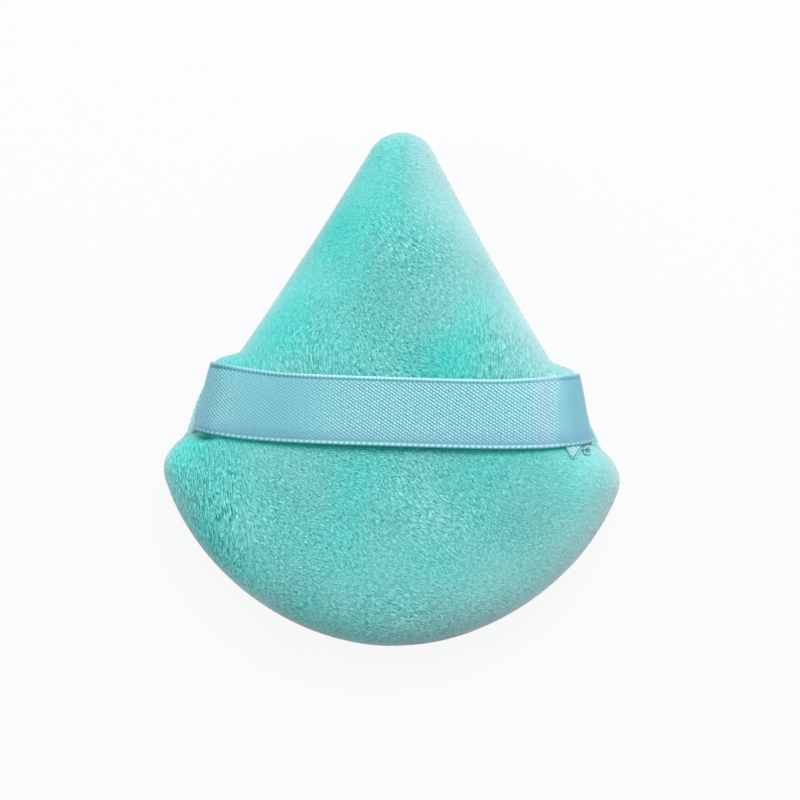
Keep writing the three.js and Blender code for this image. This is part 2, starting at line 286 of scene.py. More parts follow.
@dataclass
class PadShape:
    """Outline and section of the pad."""

    length: float = 80.0
    width: float = 71.1
    point_radius: float = 5.6
    corner_radius: float = 4.8
    corner_height: float = 26.6
    flank_draw_in: float = 0.75
    base_draw_in: float = 0.3
    thickness: float = 15.0
    seam_height: float = 6.6
    seam_gap: float = 0.6
    crown_power: float = 3.0
    underside_run: float = 7.5
    seam_allowance: float = 4.5
    velour: float = 1.8
    strap_width: float = 10.7
    strap_above_round: float = 3.3
    ear_proud: float = 2.7
    ear_reach: float = 2.4
    seat_draw_in: float = 1.4
    bulge_fall: float = 25.0
    strap_bow: float = 1.3
    bow_power: float = 4.0
    pinch_depth: float = 0.6
    pinch_below: Span = (-1.0, -0.3)
    pinch_heights: Span = (13.5, 9.5)
    middle_between: Span = (-0.4, 0.3)
    middle_steps: int = 1401
    outline_steps: int = 480
    distance_steps: int = 120
    outline: Array = field(init=False)
    polygon: Array = field(init=False)
    seat_head: Array = field(init=False)
    seat_foot: Array = field(init=False)
    middle: Array = field(init=False)
    deepest: float = field(init=False)

    def __post_init__(self) -> None:
        """Work out the outline and the point that lies deepest inside it."""
        half = self.right_half()
        self.outline = self.closed_outline(half, self.outline_steps)
        self.polygon = self.closed_outline(half, self.distance_steps)
        low, high = self.middle_between
        heights = np.linspace(low * self.length, high * self.length, self.middle_steps)
        depths = self.edge_distance(np.zeros_like(heights), heights)
        self.middle = np.array([0.0, heights[np.argmax(depths)]])
        self.deepest = float(depths.max())

    def right_half(self) -> Array:
        """Trace the right half of the outline, from the point to the base, and set the strap's seat.

        Returns:
            (n, 2) places, closely spaced.
        """
        point_y = self.length / 2 - self.point_radius
        corner = np.array([self.width / 2 - self.corner_radius, self.corner_height - self.length / 2])
        base_radius = (corner[0] ** 2 + self.corner_height ** 2 - self.corner_radius ** 2) / (
            2 * (self.corner_height - self.corner_radius))
        base_y = base_radius - self.length / 2
        reach = math.hypot(corner[0], point_y - corner[1])
        side = math.acos((self.point_radius - self.corner_radius) / reach) - math.atan2(
            point_y - corner[1], corner[0])
        base = math.atan2(corner[1] - base_y, corner[0])
        outward = np.array([math.cos(side), math.sin(side)])
        downward = np.array([outward[1], -outward[0]])
        head = np.array([0.0, point_y]) + self.point_radius * outward
        foot = corner + self.corner_radius * outward

        def flank(y: Array) -> Array:
            """Give the place on the drawn-in side at each height y."""
            share = (head[1] - y) / (head[1] - foot[1])
            return np.stack([
                head[0] + (foot[0] - head[0]) * share - 4 * self.flank_draw_in * share * (1 - share), y], -1)

        foot_y = foot[1] + self.strap_above_round
        head_y = foot_y + self.strap_width
        self.seat_head = flank(np.float64(head_y)) + [self.ear_proud, 0.0]
        self.seat_foot = flank(np.float64(foot_y)) - [self.seat_draw_in, 0.0]
        along_seat = self.seat_foot - self.seat_head
        along_seat /= np.linalg.norm(along_seat)
        ear = flank(np.float64(head_y + self.ear_reach))
        steps = np.linspace(0.0, 1.0, SIDE_STEPS)[:-1, None]
        fall = math.radians(self.bulge_fall)
        bulging = np.array([math.cos(fall), -math.sin(fall)])
        share = np.linspace(0.0, 1.0, ARC_STEPS)[:-1]
        turn = base - (base + math.pi / 2) * share
        radius = base_radius - self.base_draw_in * np.sin(math.pi * share) ** 2
        return np.concatenate([
            self.arc((0.0, point_y), self.point_radius, math.pi / 2, side),
            flank(head[1] + (ear[1] - head[1]) * steps[:, 0]),
            self.bend(ear, downward, self.seat_head, along_seat),
            self.seat_head + (self.seat_foot - self.seat_head) * steps,
            self.bend(self.seat_foot, bulging, foot, downward),
            self.arc(corner, self.corner_radius, side, base),
            np.column_stack([radius * np.cos(turn), base_y + radius * np.sin(turn)]),
            np.array([[0.0, -self.length / 2]]),
        ])

    @staticmethod
    def arc(centre: Array, radius: float, start: float, end: float) -> Array:
        """Trace an arc between two angles, without its last place."""
        turns = np.linspace(start, end, ARC_STEPS)[:-1]
        return np.asarray(centre) + radius * np.stack([np.cos(turns), np.sin(turns)], -1)

    @staticmethod
    def bend(start: Array, leaving: Array, end: Array, arriving: Array) -> Array:
        """Trace a smooth bend, without its last place.

        Args:
            start: place where it starts.
            leaving: direction in which it leaves.
            end: place where it ends.
            arriving: direction in which it arrives.

        Returns:
            (n, 2) places.
        """
        pull = np.linalg.norm(end - start) / 3
        first, second = start + pull * leaving, end - pull * arriving
        t = np.linspace(0.0, 1.0, SIDE_STEPS)[:-1, None]
        return ((1 - t) ** 3 * start + 3 * t * (1 - t) ** 2 * first
                + 3 * t ** 2 * (1 - t) * second + t ** 3 * end)

    @staticmethod
    def closed_outline(half: Array, steps: int) -> Array:
        """Space places evenly round the whole outline, anticlockwise from the middle of the base."""
        right = respaced(half[::-1], steps + 1)
        return np.concatenate([right, right[-2:0:-1] * [-1.0, 1.0]])

    def edge_distance(self, x: Array, y: Array) -> Array:
        """Measure the smooth distance from the edge, a mean over all directions.

        Args:
            x: places across the pad.
            y: places along the pad.

        Returns:
            The distance at each place.
        """
        total = np.zeros(np.shape(x))
        for start, end in zip(self.polygon, np.roll(self.polygon, -1, axis=0)):
            along = (end - start) / np.linalg.norm(end - start)
            from_x, from_y = start[0] - x, start[1] - y
            to_x, to_y = end[0] - x, end[1] - y
            height = from_x * along[1] - from_y * along[0]
            height = np.where(np.abs(height) < TOUCHING, TOUCHING, height)
            near = from_x * along[0] + from_y * along[1]
            far = to_x * along[0] + to_y * along[1]
            turn = np.arctan2(far, height) - np.arctan2(near, height)
            wave = far * height / (far ** 2 + height ** 2) - near * height / (near ** 2 + height ** 2)
            total += (turn + wave) / 2 / height ** 2
        return np.sqrt(np.pi / 2 / np.maximum(total, ALMOST_NONE))

    def pinch(self, places: Array) -> Array:
        """Give how far the tight strap draws the side in, most at its lower corner.

        Args:
            places: (n, 3) places on the pad or the strap.

        Returns:
            The draw-in at each place.
        """
        _, y, z = places.T
        foot, head = self.seat_foot[1], self.seat_head[1]
        low = smooth_step((head, foot), y) * smooth_step(self.pinch_below, y, foot)
        return self.pinch_depth * low * smooth_step(self.pinch_heights, z)

    def bow(self, share: Array) -> Array:
        """Give how far the strap hangs towards the base, at shares of the way to its end."""
        return self.strap_bow * np.maximum(1 - np.abs(share) ** self.bow_power, 0.0)

    def flank_reach(self, y: Array) -> Array:
        """Give how far the rim is from the middle line at heights y."""
        right = self.outline[: self.outline_steps + 1]
        return np.interp(y, right[:, 1], right[:, 0])

    def section(self, side: Side, distance: Array) -> Array:
        """Give the height of a face.

        Args:
            side: which face.
            distance: distances from the edge.

        Returns:
            The height at each distance.
        """
        if side is Side.FRONT:
            top = self.seam_height + self.seam_gap / 2
            share = np.clip(distance / self.deepest, 0.0, 1.0)
            return top + (self.thickness - top) * np.sqrt(1.0 - (1.0 - share) ** self.crown_power)
        foot = self.seam_height - self.seam_gap / 2
        share = np.clip(distance / self.underside_run, 0.0, 1.0)
        return foot * (1.0 - np.sqrt(1.0 - (1.0 - share) ** 2))


@dataclass
class PadFace:
    """One face of the pad as rays from the rim to its middle, evenly spaced along each ray."""

    shape: PadShape
    side: Side
    ray_steps: int = 240
    crease_rays: int = 14
    first_probe: float = 0.3
    probes: int = 60
    probe_power: float = 1.5
    fine_steps: int = 400
    fine_power: int = 2
    places: Array = field(init=False)
    lengths: Array = field(init=False)
    shares: Array = field(init=False)
    distances: Array = field(init=False)

    def __post_init__(self) -> None:
        """Trace every ray, on the right half first and then mirrored."""
        shape = self.shape
        rims = shape.outline[: shape.outline_steps + 1]
        first = self.first_probe / np.linalg.norm(rims - shape.middle, axis=1)[:, None]
        probes = np.linspace(0, 1, self.probes) ** self.probe_power
        self.shares = np.concatenate([np.zeros_like(first), first + (1 - first) * probes], axis=1)
        spots = rims[:, None] + (shape.middle - rims)[:, None] * self.shares[..., None]
        self.distances = shape.edge_distance(spots[..., 0], spots[..., 1])
        self.distances[:, 0] = 0.0
        fine = np.linspace(0.0, 1.0, self.fine_steps) ** self.fine_power
        rays, lengths = [], []
        for rim, shares, distances in zip(rims, self.shares, self.distances):
            distance = np.interp(fine, shares, distances)
            plan = rim + (shape.middle - rim) * fine[:, None]
            ray = np.column_stack([plan, shape.section(self.side, distance)])
            rays.append(respaced(ray, self.ray_steps + 1))
            lengths.append(step_lengths(ray).sum())
        self.places = np.concatenate([rays, np.array(rays)[-2:0:-1] * MIRROR])
        self.lengths = np.concatenate([lengths, lengths[-2:0:-1]])
        self.shares = np.concatenate([self.shares, self.shares[-2:0:-1]])
        self.distances = np.concatenate([self.distances, self.distances[-2:0:-1]])

    def on_ray(self, turn: Array) -> tuple[Array, Array, Array]:
        """Find the two rays that each turn lies between.

        Args:
            turn: shares of the way round, 0 at the right and 0.25 at the point.

        Returns:
            The numbers of both rays, and the share of the way between them.
        """
        count = len(self.lengths)
        at = np.mod(turn + QUARTER_TURN, 1.0) * count
        low = np.floor(at).astype(int)
        return low % count, (low + 1) % count, at - low

    def look_up(self, table: Array, turn: Array, depth: Array) -> Array:
        """Read a table of values on the rays.

        Args:
            table: (rays, steps, 3) values.
            turn: shares of the way round.
            depth: shares of the way from the rim to the middle.

        Returns:
            (n, 3) values.
        """
        low, high, part = self.on_ray(turn)
        step = np.clip(depth, 0.0, 1.0) * self.ray_steps
        inner = np.minimum(step.astype(int), self.ray_steps - 1)
        rest = (step - inner)[:, None]
        part = part[:, None]
        one = between(table[low, inner], table[low, inner + 1], rest)
        two = between(table[high, inner], table[high, inner + 1], rest)
        return between(one, two, part)

    def place(self, turn: Array, depth: Array) -> Array:
        """Look up (n, 3) places on the face."""
        return self.look_up(self.places, turn, depth)

    def lean(self, turn: Array, depth: Array) -> Array:
        """Look up normals of the face, smoothed along the rim past its creases.

        Args:
            turn: shares of the way round.
            depth: shares of the way from the rim to the middle.

        Returns:
            (n, 3) normals.
        """
        around = np.roll(self.places, -1, axis=0) - np.roll(self.places, 1, axis=0)
        normals = np.cross(around, np.gradient(self.places, axis=1)) * self.side.up
        normals /= np.maximum(np.linalg.norm(normals, axis=2, keepdims=True), ALMOST_NONE)
        rays = range(-self.crease_rays, self.crease_rays + 1)
        smoothed = sum(np.roll(normals, ray, axis=0) for ray in rays) / len(rays)
        return self.look_up(smoothed, turn, depth)

    def flat_spot(self, turn: Array, depth: Array) -> Array:
        """Lay the face out flat round its middle, with its true length on every ray.

        Args:
            turn: shares of the way round.
            depth: shares of the way from the rim to the middle.

        Returns:
            (n, 2) places on the flat cover.
        """
        low, high, part = self.on_ray(turn)
        length = between(self.lengths[low], self.lengths[high], part)
        away = unit(self.place(turn, np.zeros_like(turn))[:, :2] - self.shape.middle)
        return self.shape.middle + away * (length * (1 - depth))[:, None]

    def cut_size(self) -> tuple[float, float, float]:
        """Measure the face laid out flat, with the seam allowance all round it.

        Returns:
            Its width and length in metres, and its area in square metres.
        """
        away = unit(self.shape.outline - self.shape.middle)
        cut = away * (self.lengths + self.shape.seam_allowance)[:, None] * MM
        x, y = cut.T
        area = np.sum(x * np.roll(y, -1) - y * np.roll(x, -1)) / 2
        return round(float(np.ptp(x)), 4), round(float(np.ptp(y)), 4), round(float(area), 5)

    def inset(self, turn: Array, distance: float) -> Array:
        """Find the plan places at a distance from the edge.

        Args:
            turn: shares of the way round.
            distance: how far in from the edge.

        Returns:
            (n, 2) places, on the rays at the turns.
        """
        low, high, part = self.on_ray(turn)
        share = np.array([np.interp(distance, d, s) for d, s in zip(self.distances, self.shares)])
        spots = self.shape.outline + (self.shape.middle - self.shape.outline) * share[:, None]
        return between(spots[low], spots[high], part[:, None])


@dataclass
class RoundGrid:
    """A square grid of quads bent into a disc, so that rings of it run round the pad."""

    rings: int
    turn: Array = field(init=False)
    depth: Array = field(init=False)
    faces: Array = field(init=False)
    border: Array = field(init=False)
    spots: Array = field(init=False)

    def __post_init__(self) -> None:
        """Number the grid and find each vertex's ring and turn."""
        size = 2 * self.rings + 1
        line = np.arange(-self.rings, self.rings + 1)
        i, j = (part.ravel() for part in np.meshgrid(line, line, indexing="ij"))
        ring = np.maximum(np.abs(i), np.abs(j))
        safe = np.maximum(ring, 1)
        quarter = np.select([i == ring, j == ring, i == -ring], [0, 1, 2], 3)
        along = np.select([quarter == 0, quarter == 1, quarter == 2], [j, -i, -j], i) / safe
        self.turn = np.mod((quarter + along / 2) / 4, 1.0)
        self.depth = 1.0 - ring / self.rings
        number = np.arange(size * size).reshape(size, size)
        self.faces = grid_quads(number)
        rim = np.flatnonzero(ring == self.rings)
        self.border = rim[np.argsort(self.turn[rim], kind="stable")]
        self.spots = np.stack([i, j], -1) / (2 * self.rings) + 0.5


@dataclass
class PileMaps:
    """Random maps of smooth blobs, for the pile over the flat cover and for the foam's pores."""

    seed: int
    half_size: float = 64.0
    cells: int = 1024
    fine_fall: float = 2.0
    coarse_fall: float = 12.0
    edge_margin: float = 1.001
    draws: np.random.Generator = field(init=False)

    def __post_init__(self) -> None:
        """Start the random numbers at the seed."""
        self.draws = np.random.default_rng(self.seed)

    def blobs(self, size: float, spots: Array) -> Array:
        """Draw a map of smooth random blobs and read it at flat spots.

        Args:
            size: about the width of a blob and the gap beside it.
            spots: (n, 2) flat places.

        Returns:
            One value for each spot, with a spread of 1.
        """
        pitch = 2 * self.half_size / self.cells
        waves = size * np.hypot(*np.meshgrid(
            np.fft.fftfreq(self.cells, pitch), np.fft.rfftfreq(self.cells, pitch), indexing="ij"))
        keep = np.exp(-self.fine_fall * waves ** 2) - np.exp(-self.coarse_fall * waves ** 2)
        grain = self.draws.standard_normal((self.cells, self.cells))
        blobs = np.fft.irfft2(np.fft.rfft2(grain) * keep)
        at = (spots + self.half_size) / (2 * self.half_size) * (self.cells - 1)
        at = np.clip(at, 0.0, self.cells - self.edge_margin)
        low = at.astype(int)
        x, y = (at - low).T
        i, j = low.T
        near = between(blobs[i, j], blobs[i + 1, j], x)
        far = between(blobs[i, j + 1], blobs[i + 1, j + 1], x)
        return between(near, far, y) / blobs.std()


def shader(material: Material, kind: str, **values: object) -> Node:
    """Add a node to a material and set its properties and unlinked sockets.

    Args:
        material: the material to add to.
        kind: Blender's name of the node type.
        **values: properties of the node, or sockets with spaces written as underscores.

    Returns:
        The new node.
    """
    node = material.node_tree.nodes.new(kind)
    for key, value in values.items():
        socket = key.replace("_", " ")
        if socket in node.inputs:
            node.inputs[socket].default_value = value
        else:
            setattr(node, key, value)
    return node


def new_material(name: str) -> tuple[Material, Node, Node]:
    """Start a node material.

    Args:
        name: name of the material.

    Returns:
        The material, its main shader and its output.
    """
    material = bpy.data.materials.new(name)
    material.use_nodes = True
    nodes = material.node_tree.nodes
    return material, nodes["Principled BSDF"], nodes["Material Output"]


def join(material: Material, *pairs: tuple[Socket, Socket]) -> None:
    """Link pairs of output and input sockets."""
    for start, end in pairs:
        material.node_tree.links.new(start, end)


def weighed(material: Material, start: float, *terms: tuple[Socket, float]) -> Socket:
    """Add sockets up, each times its weight.

    Args:
        material: the material to add to.
        start: value that the sum starts from.
        *terms: sockets with their weights.

    Returns:
        The socket that gives the sum.
    """
    total = None
    for socket, weight in terms:
        node = shader(material, "ShaderNodeMath", operation="MULTIPLY_ADD")
        node.inputs[1].default_value = weight
        node.inputs[2].default_value = start
        join(material, (socket, node.inputs[0]))
        if total is not None:
            join(material, (total, node.inputs[2]))
        total = node.outputs[0]
    return total


def stored(material: Material, name: str, output: str = "Fac") -> Socket:
    """Read what a piece stores for each vertex under a name."""
    return shader(material, "ShaderNodeAttribute", attribute_name=name).outputs[output]


def flat_noise(material: Material, spot: Socket, size: float, detail: float, **values: float) -> Socket:
    """Add random grain over flat cloth.

    Args:
        material: the material to add to.
        spot: socket that gives the flat place.
        size: about the width of a grain.
        detail: layers of finer grain in it.
        **values: other sockets of the noise.

    Returns:
        The socket that gives the grain, 0.5 in the mean.
    """
    noise = shader(
        material, "ShaderNodeTexNoise", noise_dimensions="2D", Scale=1 / size, Detail=detail, **values)
    join(material, (spot, noise.inputs["Vector"]))
    return noise.outputs["Fac"]


def mixed(material: Material, share: str, first: Socket, second: Socket) -> Socket:
    """Blend two numbers by a share that the piece stores for each vertex.

    Args:
        material: the material to add to.
        share: name of the share.
        first: socket that counts where the share is 0.
        second: socket that counts where it is 1.

    Returns:
        The socket that gives the blend.
    """
    mix = shader(material, "ShaderNodeMix", data_type="FLOAT")
    start, end = (mix.inputs[number] for number in MIX_NUMBERS)
    join(material, (stored(material, share), mix.inputs[MIX_SHARE]), (first, start), (second, end))
    return mix.outputs[0]


def tinted(material: Material, colour: Socket, share: str, tint: Colour, blend: str = "MIX") -> Socket:
    """Blend a tint into a colour by a share that the piece stores for each vertex.

    Args:
        material: the material to add to.
        colour: socket that gives the colour.
        share: name of the share.
        tint: the tint, as a linear colour.
        blend: Blender's name of the way to blend.

    Returns:
        The socket that gives the tinted colour.
    """
    mix = shader(material, "ShaderNodeMix", data_type="RGBA", blend_type=blend)
    plain, top = (mix.inputs[number] for number in MIX_COLOURS)
    top.default_value = (*tint, 1.0)
    join(material, (stored(material, share), mix.inputs[MIX_SHARE]), (colour, plain))
    return mix.outputs[MIX_COLOUR_OUT]


def toned(material: Material, tone: Socket, *steps: tuple[float, Colour]) -> Socket:
    """Turn a tone into a colour.

    Args:
        material: the material to add to.
        tone: socket that gives the tone, 0 to 1.
        *steps: tones with their linear colours, from low to high.

    Returns:
        The socket that gives the colour.
    """
    node = shader(material, "ShaderNodeValToRGB")
    ramp = node.color_ramp
    while len(ramp.elements) < len(steps):
        ramp.elements.new(MIDDLE_TONE)
    for stop, (position, colour) in zip(ramp.elements, steps):
        stop.position = position
        stop.color = (*colour, 1.0)
    join(material, (tone, node.inputs["Fac"]))
    return node.outputs["Color"]


def give_surface(
    material: Material, surface: Node, colour: Socket, height: Socket, depth: float, strength: float = 1.0
) -> None:
    """Give a main shader its colour and its fine relief.

    Args:
        material: the material to add to.
        surface: the main shader.
        colour: socket that gives the colour.
        height: socket that gives the relief, 0 to 1.
        depth: millimetres that a relief of 1 stands up.
        strength: share of the relief that shows.
    """
    bump = shader(material, "ShaderNodeBump", Strength=strength, Distance=depth * MM)
    join(
        material,
        (colour, surface.inputs["Base Color"]),
        (height, bump.inputs["Height"]),
        (bump.outputs["Normal"], surface.inputs["Normal"]),
    )


@dataclass(frozen=True)
class VelourFinish:
    """Short brushed pile: dark between the tufts and pale on their tips, which is painted shade and painted
    light over the pile's own grain, with a soft bloom and tints of painted light, sheen and shade.
    """

    # The ramp runs with the pile's relief: the root colour is painted shade between the tufts, the tip
    # colour painted light on them
    root: Colour = linear(44, 146, 143)
    body: Colour = linear(104, 200, 196)
    tip: Colour = linear(162, 237, 233)
    # Painted light: a multiplier that makes flanks facing left brighter and more saturated; it also deepens
    # brushed patches and colours the painted shadow strip below the strap
    deep: Colour = (0.36, 1.2, 1.13)
    # Painted sheen: the pale tint of the rims and of flanks facing right
    pale: Colour = linear(202, 232, 235)
    # Painted shade: the tint of the shadows under and beside the strap and round the folded end's thread
    dark: Colour = linear(4, 150, 142)
    roughness: float = 0.92
    gloss: float = 0.1
    sheen: float = 0.55
    sheen_roughness: float = 0.25
    sheen_tint: Colour = linear(240, 238, 246)
    stroke_curl: float = 0.8
    stroke_contrast: float = 2.0
    grain_size: float = 0.2
    grain_contrast: float = 0.4
    tuft_contrast: float = 0.1
    stroke_height: float = 0.26
    stroke_detail: float = 2.0
    stroke_roughness: float = 0.55
    grain_detail: float = 1.0

    def strokes(self, material: Material) -> Socket:
        """Add fine brush strokes in three directions, each where the piece says.

        Args:
            material: the material to add to.

        Returns:
            The socket that gives the strokes' height, about 0.5 in the mean.
        """
        spot = stored(material, "brush", "Vector")
        strokes = None
        for stroke in Stroke:
            angle, width, length = stroke.value
            turn = shader(material, "ShaderNodeVectorRotate", rotation_type="Z_AXIS",
                          Angle=-math.radians(angle))
            stretch = shader(material, "ShaderNodeMapping", Scale=(1 / length, 1 / width, 1.0))
            join(material, (spot, turn.inputs["Vector"]), (turn.outputs["Vector"], stretch.inputs["Vector"]))
            height = flat_noise(material, stretch.outputs["Vector"], 1.0, self.stroke_detail,
                                Roughness=self.stroke_roughness, Distortion=self.stroke_curl)
            strokes = height if strokes is None else mixed(material, stroke.name.lower(), strokes, height)
        return strokes

    def material(self) -> Material:
        """Make the material, which reads how the pile of a piece stands and lies, and where light, sheen and
        shade are painted on it.

        Returns:
            The material.
        """
        material, cloth, _ = new_material("velour")
        cloth.inputs["Roughness"].default_value = self.roughness
        cloth.inputs["Specular IOR Level"].default_value = self.gloss
        cloth.inputs["Sheen Weight"].default_value = self.sheen
        cloth.inputs["Sheen Roughness"].default_value = self.sheen_roughness
        cloth.inputs["Sheen Tint"].default_value = (*self.sheen_tint, 1.0)
        strokes = self.strokes(material)
        grain = flat_noise(
            material, stored(material, "brush", "Vector"), self.grain_size, self.grain_detail)
        contrast = self.stroke_contrast + self.grain_contrast + self.tuft_contrast
        relief = weighed(
            material, -MEAN_NOISE * contrast,
            (strokes, self.stroke_contrast),
            (grain, self.grain_contrast),
            (stored(material, "nap"), self.tuft_contrast),
        )
        tone = shader(material, "ShaderNodeMath", operation="MULTIPLY_ADD")
        tone.inputs[2].default_value = MIDDLE_TONE
        join(material, (relief, tone.inputs[0]), (stored(material, "ruffle"), tone.inputs[1]))
        colour = toned(
            material, tone.outputs[0], (0.0, self.root), (MIDDLE_TONE, self.body), (1.0, self.tip))
        # Painted light, painted sheen and painted shade, by shares that the piece stores
        colour = tinted(material, colour, "deep", self.deep, "MULTIPLY")
        for share, tint in (("pale", self.pale), ("dark", self.dark)):
            colour = tinted(material, colour, share, tint)
        give_surface(material, cloth, colour, strokes, self.stroke_height)
        return material


@dataclass(frozen=True)
class SatinWeave:
    """The three sets of rows in which the floats of the satin show, a third of a turn apart."""

    row_pitch: float = 0.45
    row_fall: float = 33.4
    counter_pitch: float = 0.46
    counter_rise: float = 24.4

    def waves(self) -> tuple[Array, Array, Array]:
        """Work out how each set of rows runs.

        Returns:
            The wave vector of each set along and across, in radians per millimetre.
        """
        fall, rise = math.radians(self.row_fall), math.radians(self.counter_rise)
        rows = np.array([math.sin(fall), math.cos(fall), 0.0]) * 2 * math.pi / self.row_pitch
        counter = np.array([math.sin(rise), -math.cos(rise), 0.0]) * 2 * math.pi / self.counter_pitch
        return rows, counter, rows + counter


@dataclass(frozen=True)
class SatinFinish:
    """Satin ribbon: pale floats with darker bindings between them and a soft gloss, with a painted highlight
    and painted shade.
    """

    weave: SatinWeave
    binding: Colour = linear(42, 114, 130)
    body: Colour = linear(117, 188, 198)
    floats: Colour = linear(192, 244, 247)
    # Painted shade: a bluish tint along the lower edge and at both ends, and over the painted highlight
    lilac: Colour = linear(112, 156, 186)
    # Painted highlight: a pale tint before the bend at the strap's right end
    glint: Colour = linear(204, 208, 220)
    roughness: float = 0.42
    row_contrast: float = 0.32
    counter_contrast: float = 0.09
    cross_contrast: float = 0.09
    waver: float = 2.2
    waver_size: float = 1.1
    yarn_contrast: float = 0.45
    yarn_size: float = 0.5
    relief: float = 0.03
    waver_detail: float = 1.0
    yarn_detail: float = 2.0

    def rows(self, material: Material) -> list[Socket]:
        """Add the sets of rows.

        Args:
            material: the material to add to.

        Returns:
            A socket for each set, which gives a wave between -1 and 1.
        """
        spot = stored(material, "cloth", "Vector")
        waver = flat_noise(material, spot, self.waver_size, self.waver_detail)
        rows = []
        for wave in self.weave.waves():
            along = shader(material, "ShaderNodeVectorMath", operation="DOT_PRODUCT")
            along.inputs[1].default_value = wave
            row = shader(material, "ShaderNodeMath", operation="COSINE")
            phase = weighed(
                material, -MEAN_NOISE * self.waver, (waver, self.waver), (along.outputs["Value"], 1.0))
            join(material, (spot, along.inputs[0]), (phase, row.inputs[0]))
            rows.append(row.outputs[0])
        return rows

    def material(self) -> Material:
        """Make the material, which reads the flat places and the selvedges of a piece, and its painted
        highlight and shade.

        Returns:
            The material.
        """
        material, cloth, _ = new_material("satin")
        cloth.inputs["Roughness"].default_value = self.roughness
        yarn = flat_noise(material, stored(material, "cloth", "Vector"), self.yarn_size, self.yarn_detail)
        contrasts = (self.row_contrast, self.counter_contrast, self.cross_contrast)
        woven = weighed(
            material, MIDDLE_TONE - MEAN_NOISE * self.yarn_contrast,
            *zip(self.rows(material), contrasts),
            (yarn, self.yarn_contrast),
        )
        tone = mixed(material, "inside", stored(material, "hem"), woven)
        colour = toned(material, tone, (0.0, self.binding), (MIDDLE_TONE, self.body), (1.0, self.floats))
        # A painted highlight, then painted shade
        for share, tint in (("shine", self.glint), ("lilac", self.lilac)):
            colour = tinted(material, colour, share, tint)
        give_surface(material, cloth, colour, tone, self.relief)
        return material


@dataclass(frozen=True)
class FoamFinish:
    """Cream cut foam, with painted shade in its pores."""

    # Painted shade in the pores
    pore: Colour = linear(206, 200, 186)
    body: Colour = linear(243, 241, 234)
    roughness: float = 0.9
    cell_pitch: float = 0.7
    pore_stop: float = 0.05
    body_stop: float = 0.45
    pore_strength: float = 0.6
    pore_height: float = 0.2

    def material(self) -> Material:
        """Make the material.

        Returns:
            The material.
        """
        material, foam, _ = new_material("foam")
        foam.inputs["Roughness"].default_value = self.roughness
        place = shader(material, "ShaderNodeTexCoord")
        cells = shader(material, "ShaderNodeTexVoronoi", Scale=1 / (self.cell_pitch * MM))
        join(material, (place.outputs["Object"], cells.inputs["Vector"]))
        away = cells.outputs["Distance"]
        colour = toned(material, away, (self.pore_stop, self.pore), (self.body_stop, self.body))
        give_surface(material, foam, colour, away, self.pore_height, self.pore_strength)
        return material


@dataclass(frozen=True)
class ThreadFinish:
    """Spun sewing thread, with painted shade between its plies."""

    # Painted shade in the creases between the plies
    crease: Colour = linear(34, 108, 106)
    body: Colour = linear(158, 220, 220)
    roughness: float = 0.55
    fibre_pitch: float = 0.08
    sheen: float = 0.2
    fibre_share: float = 0.4
    crease_stop: float = 0.15
    fibre_detail: float = 2.0
    fibre_strength: float = 0.3
    fibre_height: float = 0.02

    def material(self) -> Material:
        """Make the material, which reads the piece's ply.

        Returns:
            The material.
        """
        material, spun, _ = new_material("thread")
        spun.inputs["Roughness"].default_value = self.roughness
        spun.inputs["Sheen Weight"].default_value = self.sheen
        place = shader(material, "ShaderNodeTexCoord")
        fibre = shader(material, "ShaderNodeTexNoise", Scale=1 / (self.fibre_pitch * MM),
                       Detail=self.fibre_detail)
        shift = shader(material, "ShaderNodeMath", operation="MULTIPLY_ADD")
        shift.inputs[1].default_value = self.fibre_share
        join(
            material,
            (place.outputs["Object"], fibre.inputs["Vector"]),
            (fibre.outputs["Fac"], shift.inputs[0]),
            (stored(material, "ply"), shift.inputs[2]),
        )
        colour = toned(material, shift.outputs[0], (self.crease_stop, self.crease), (1.0, self.body))
        give_surface(material, spun, colour, fibre.outputs["Fac"], self.fibre_height, self.fibre_strength)
        return material


@dataclass(frozen=True)
class BrushMap:
    """Which way the pile is brushed and how ruffled it is, by places on the cover laid out flat."""

    corner_x: Span = (-16.0, -27.0)
    corner_y: Span = (0.0, -9.0)
    above_x: Span = (4.0, 14.0)
    above_top: Span = (22.0, 8.0)
    above_foot: Span = (-12.0, -4.0)
    base_x: Span = (-16.0, 2.0)
    base_y: Span = (-20.0, -36.0)
    point: Fade = Fade(0.8, 20.0, 36.0)
    flank: Fade = Fade(0.7, -2.0, -10.0)
    flank_y: Span = (12.0, 20.0)
    calm: float = 0.5
    calm_right: Span = (10.0, 26.0)
    right_slope: float = 0.35
    calm_left: Span = (-14.0, -26.0)
    left_slope: float = 0.45
    calm_point: Fade = Fade(0.25, 22.0, 34.0)
    rough_corner: float = 0.75
    rough_corner_y: Span = (-10.0, -17.0)
    rough_right: float = 0.35
    rough_base: Fade = Fade(0.45, -28.0, -36.0)

    def shares(self, spots: Array) -> dict[str, Array]:
        """Work out the share of each stroke and the ruffle of the pile.

        Args:
            spots: (n, 2) places on the flat cover.

        Returns:
            Values for each spot, under the names that the velour reads.
        """
        x, y = spots.T
        corner = smooth_step(self.corner_x, x) * smooth_step(self.corner_y, y)
        above = (smooth_step(self.above_x, np.abs(x)) * smooth_step(self.above_top, y)
                 * smooth_step(self.above_foot, y))
        level = np.maximum.reduce([
            smooth_step(self.base_y, y) * smooth_step(self.base_x, x),
            self.point.at(y),
            self.flank.at(x) * smooth_step(self.flank_y, y)])
        calm = np.maximum(smooth_step(self.calm_right, x + self.right_slope * y),
                          smooth_step(self.calm_left, x - self.left_slope * y))
        ruffle = 1 - self.calm * calm * (1 - corner) - self.calm_point.at(y)
        ruffle += (self.rough_corner * corner * smooth_step(self.rough_corner_y, y)
                   + self.rough_right * above * (x > 0.0))
        ruffle += self.rough_base.at(y)
        return {
            Stroke.SLANT.name.lower(): 1 - np.maximum(corner, above),
            Stroke.LEVEL.name.lower(): level * (1 - corner),
            "ruffle": ruffle,
        }


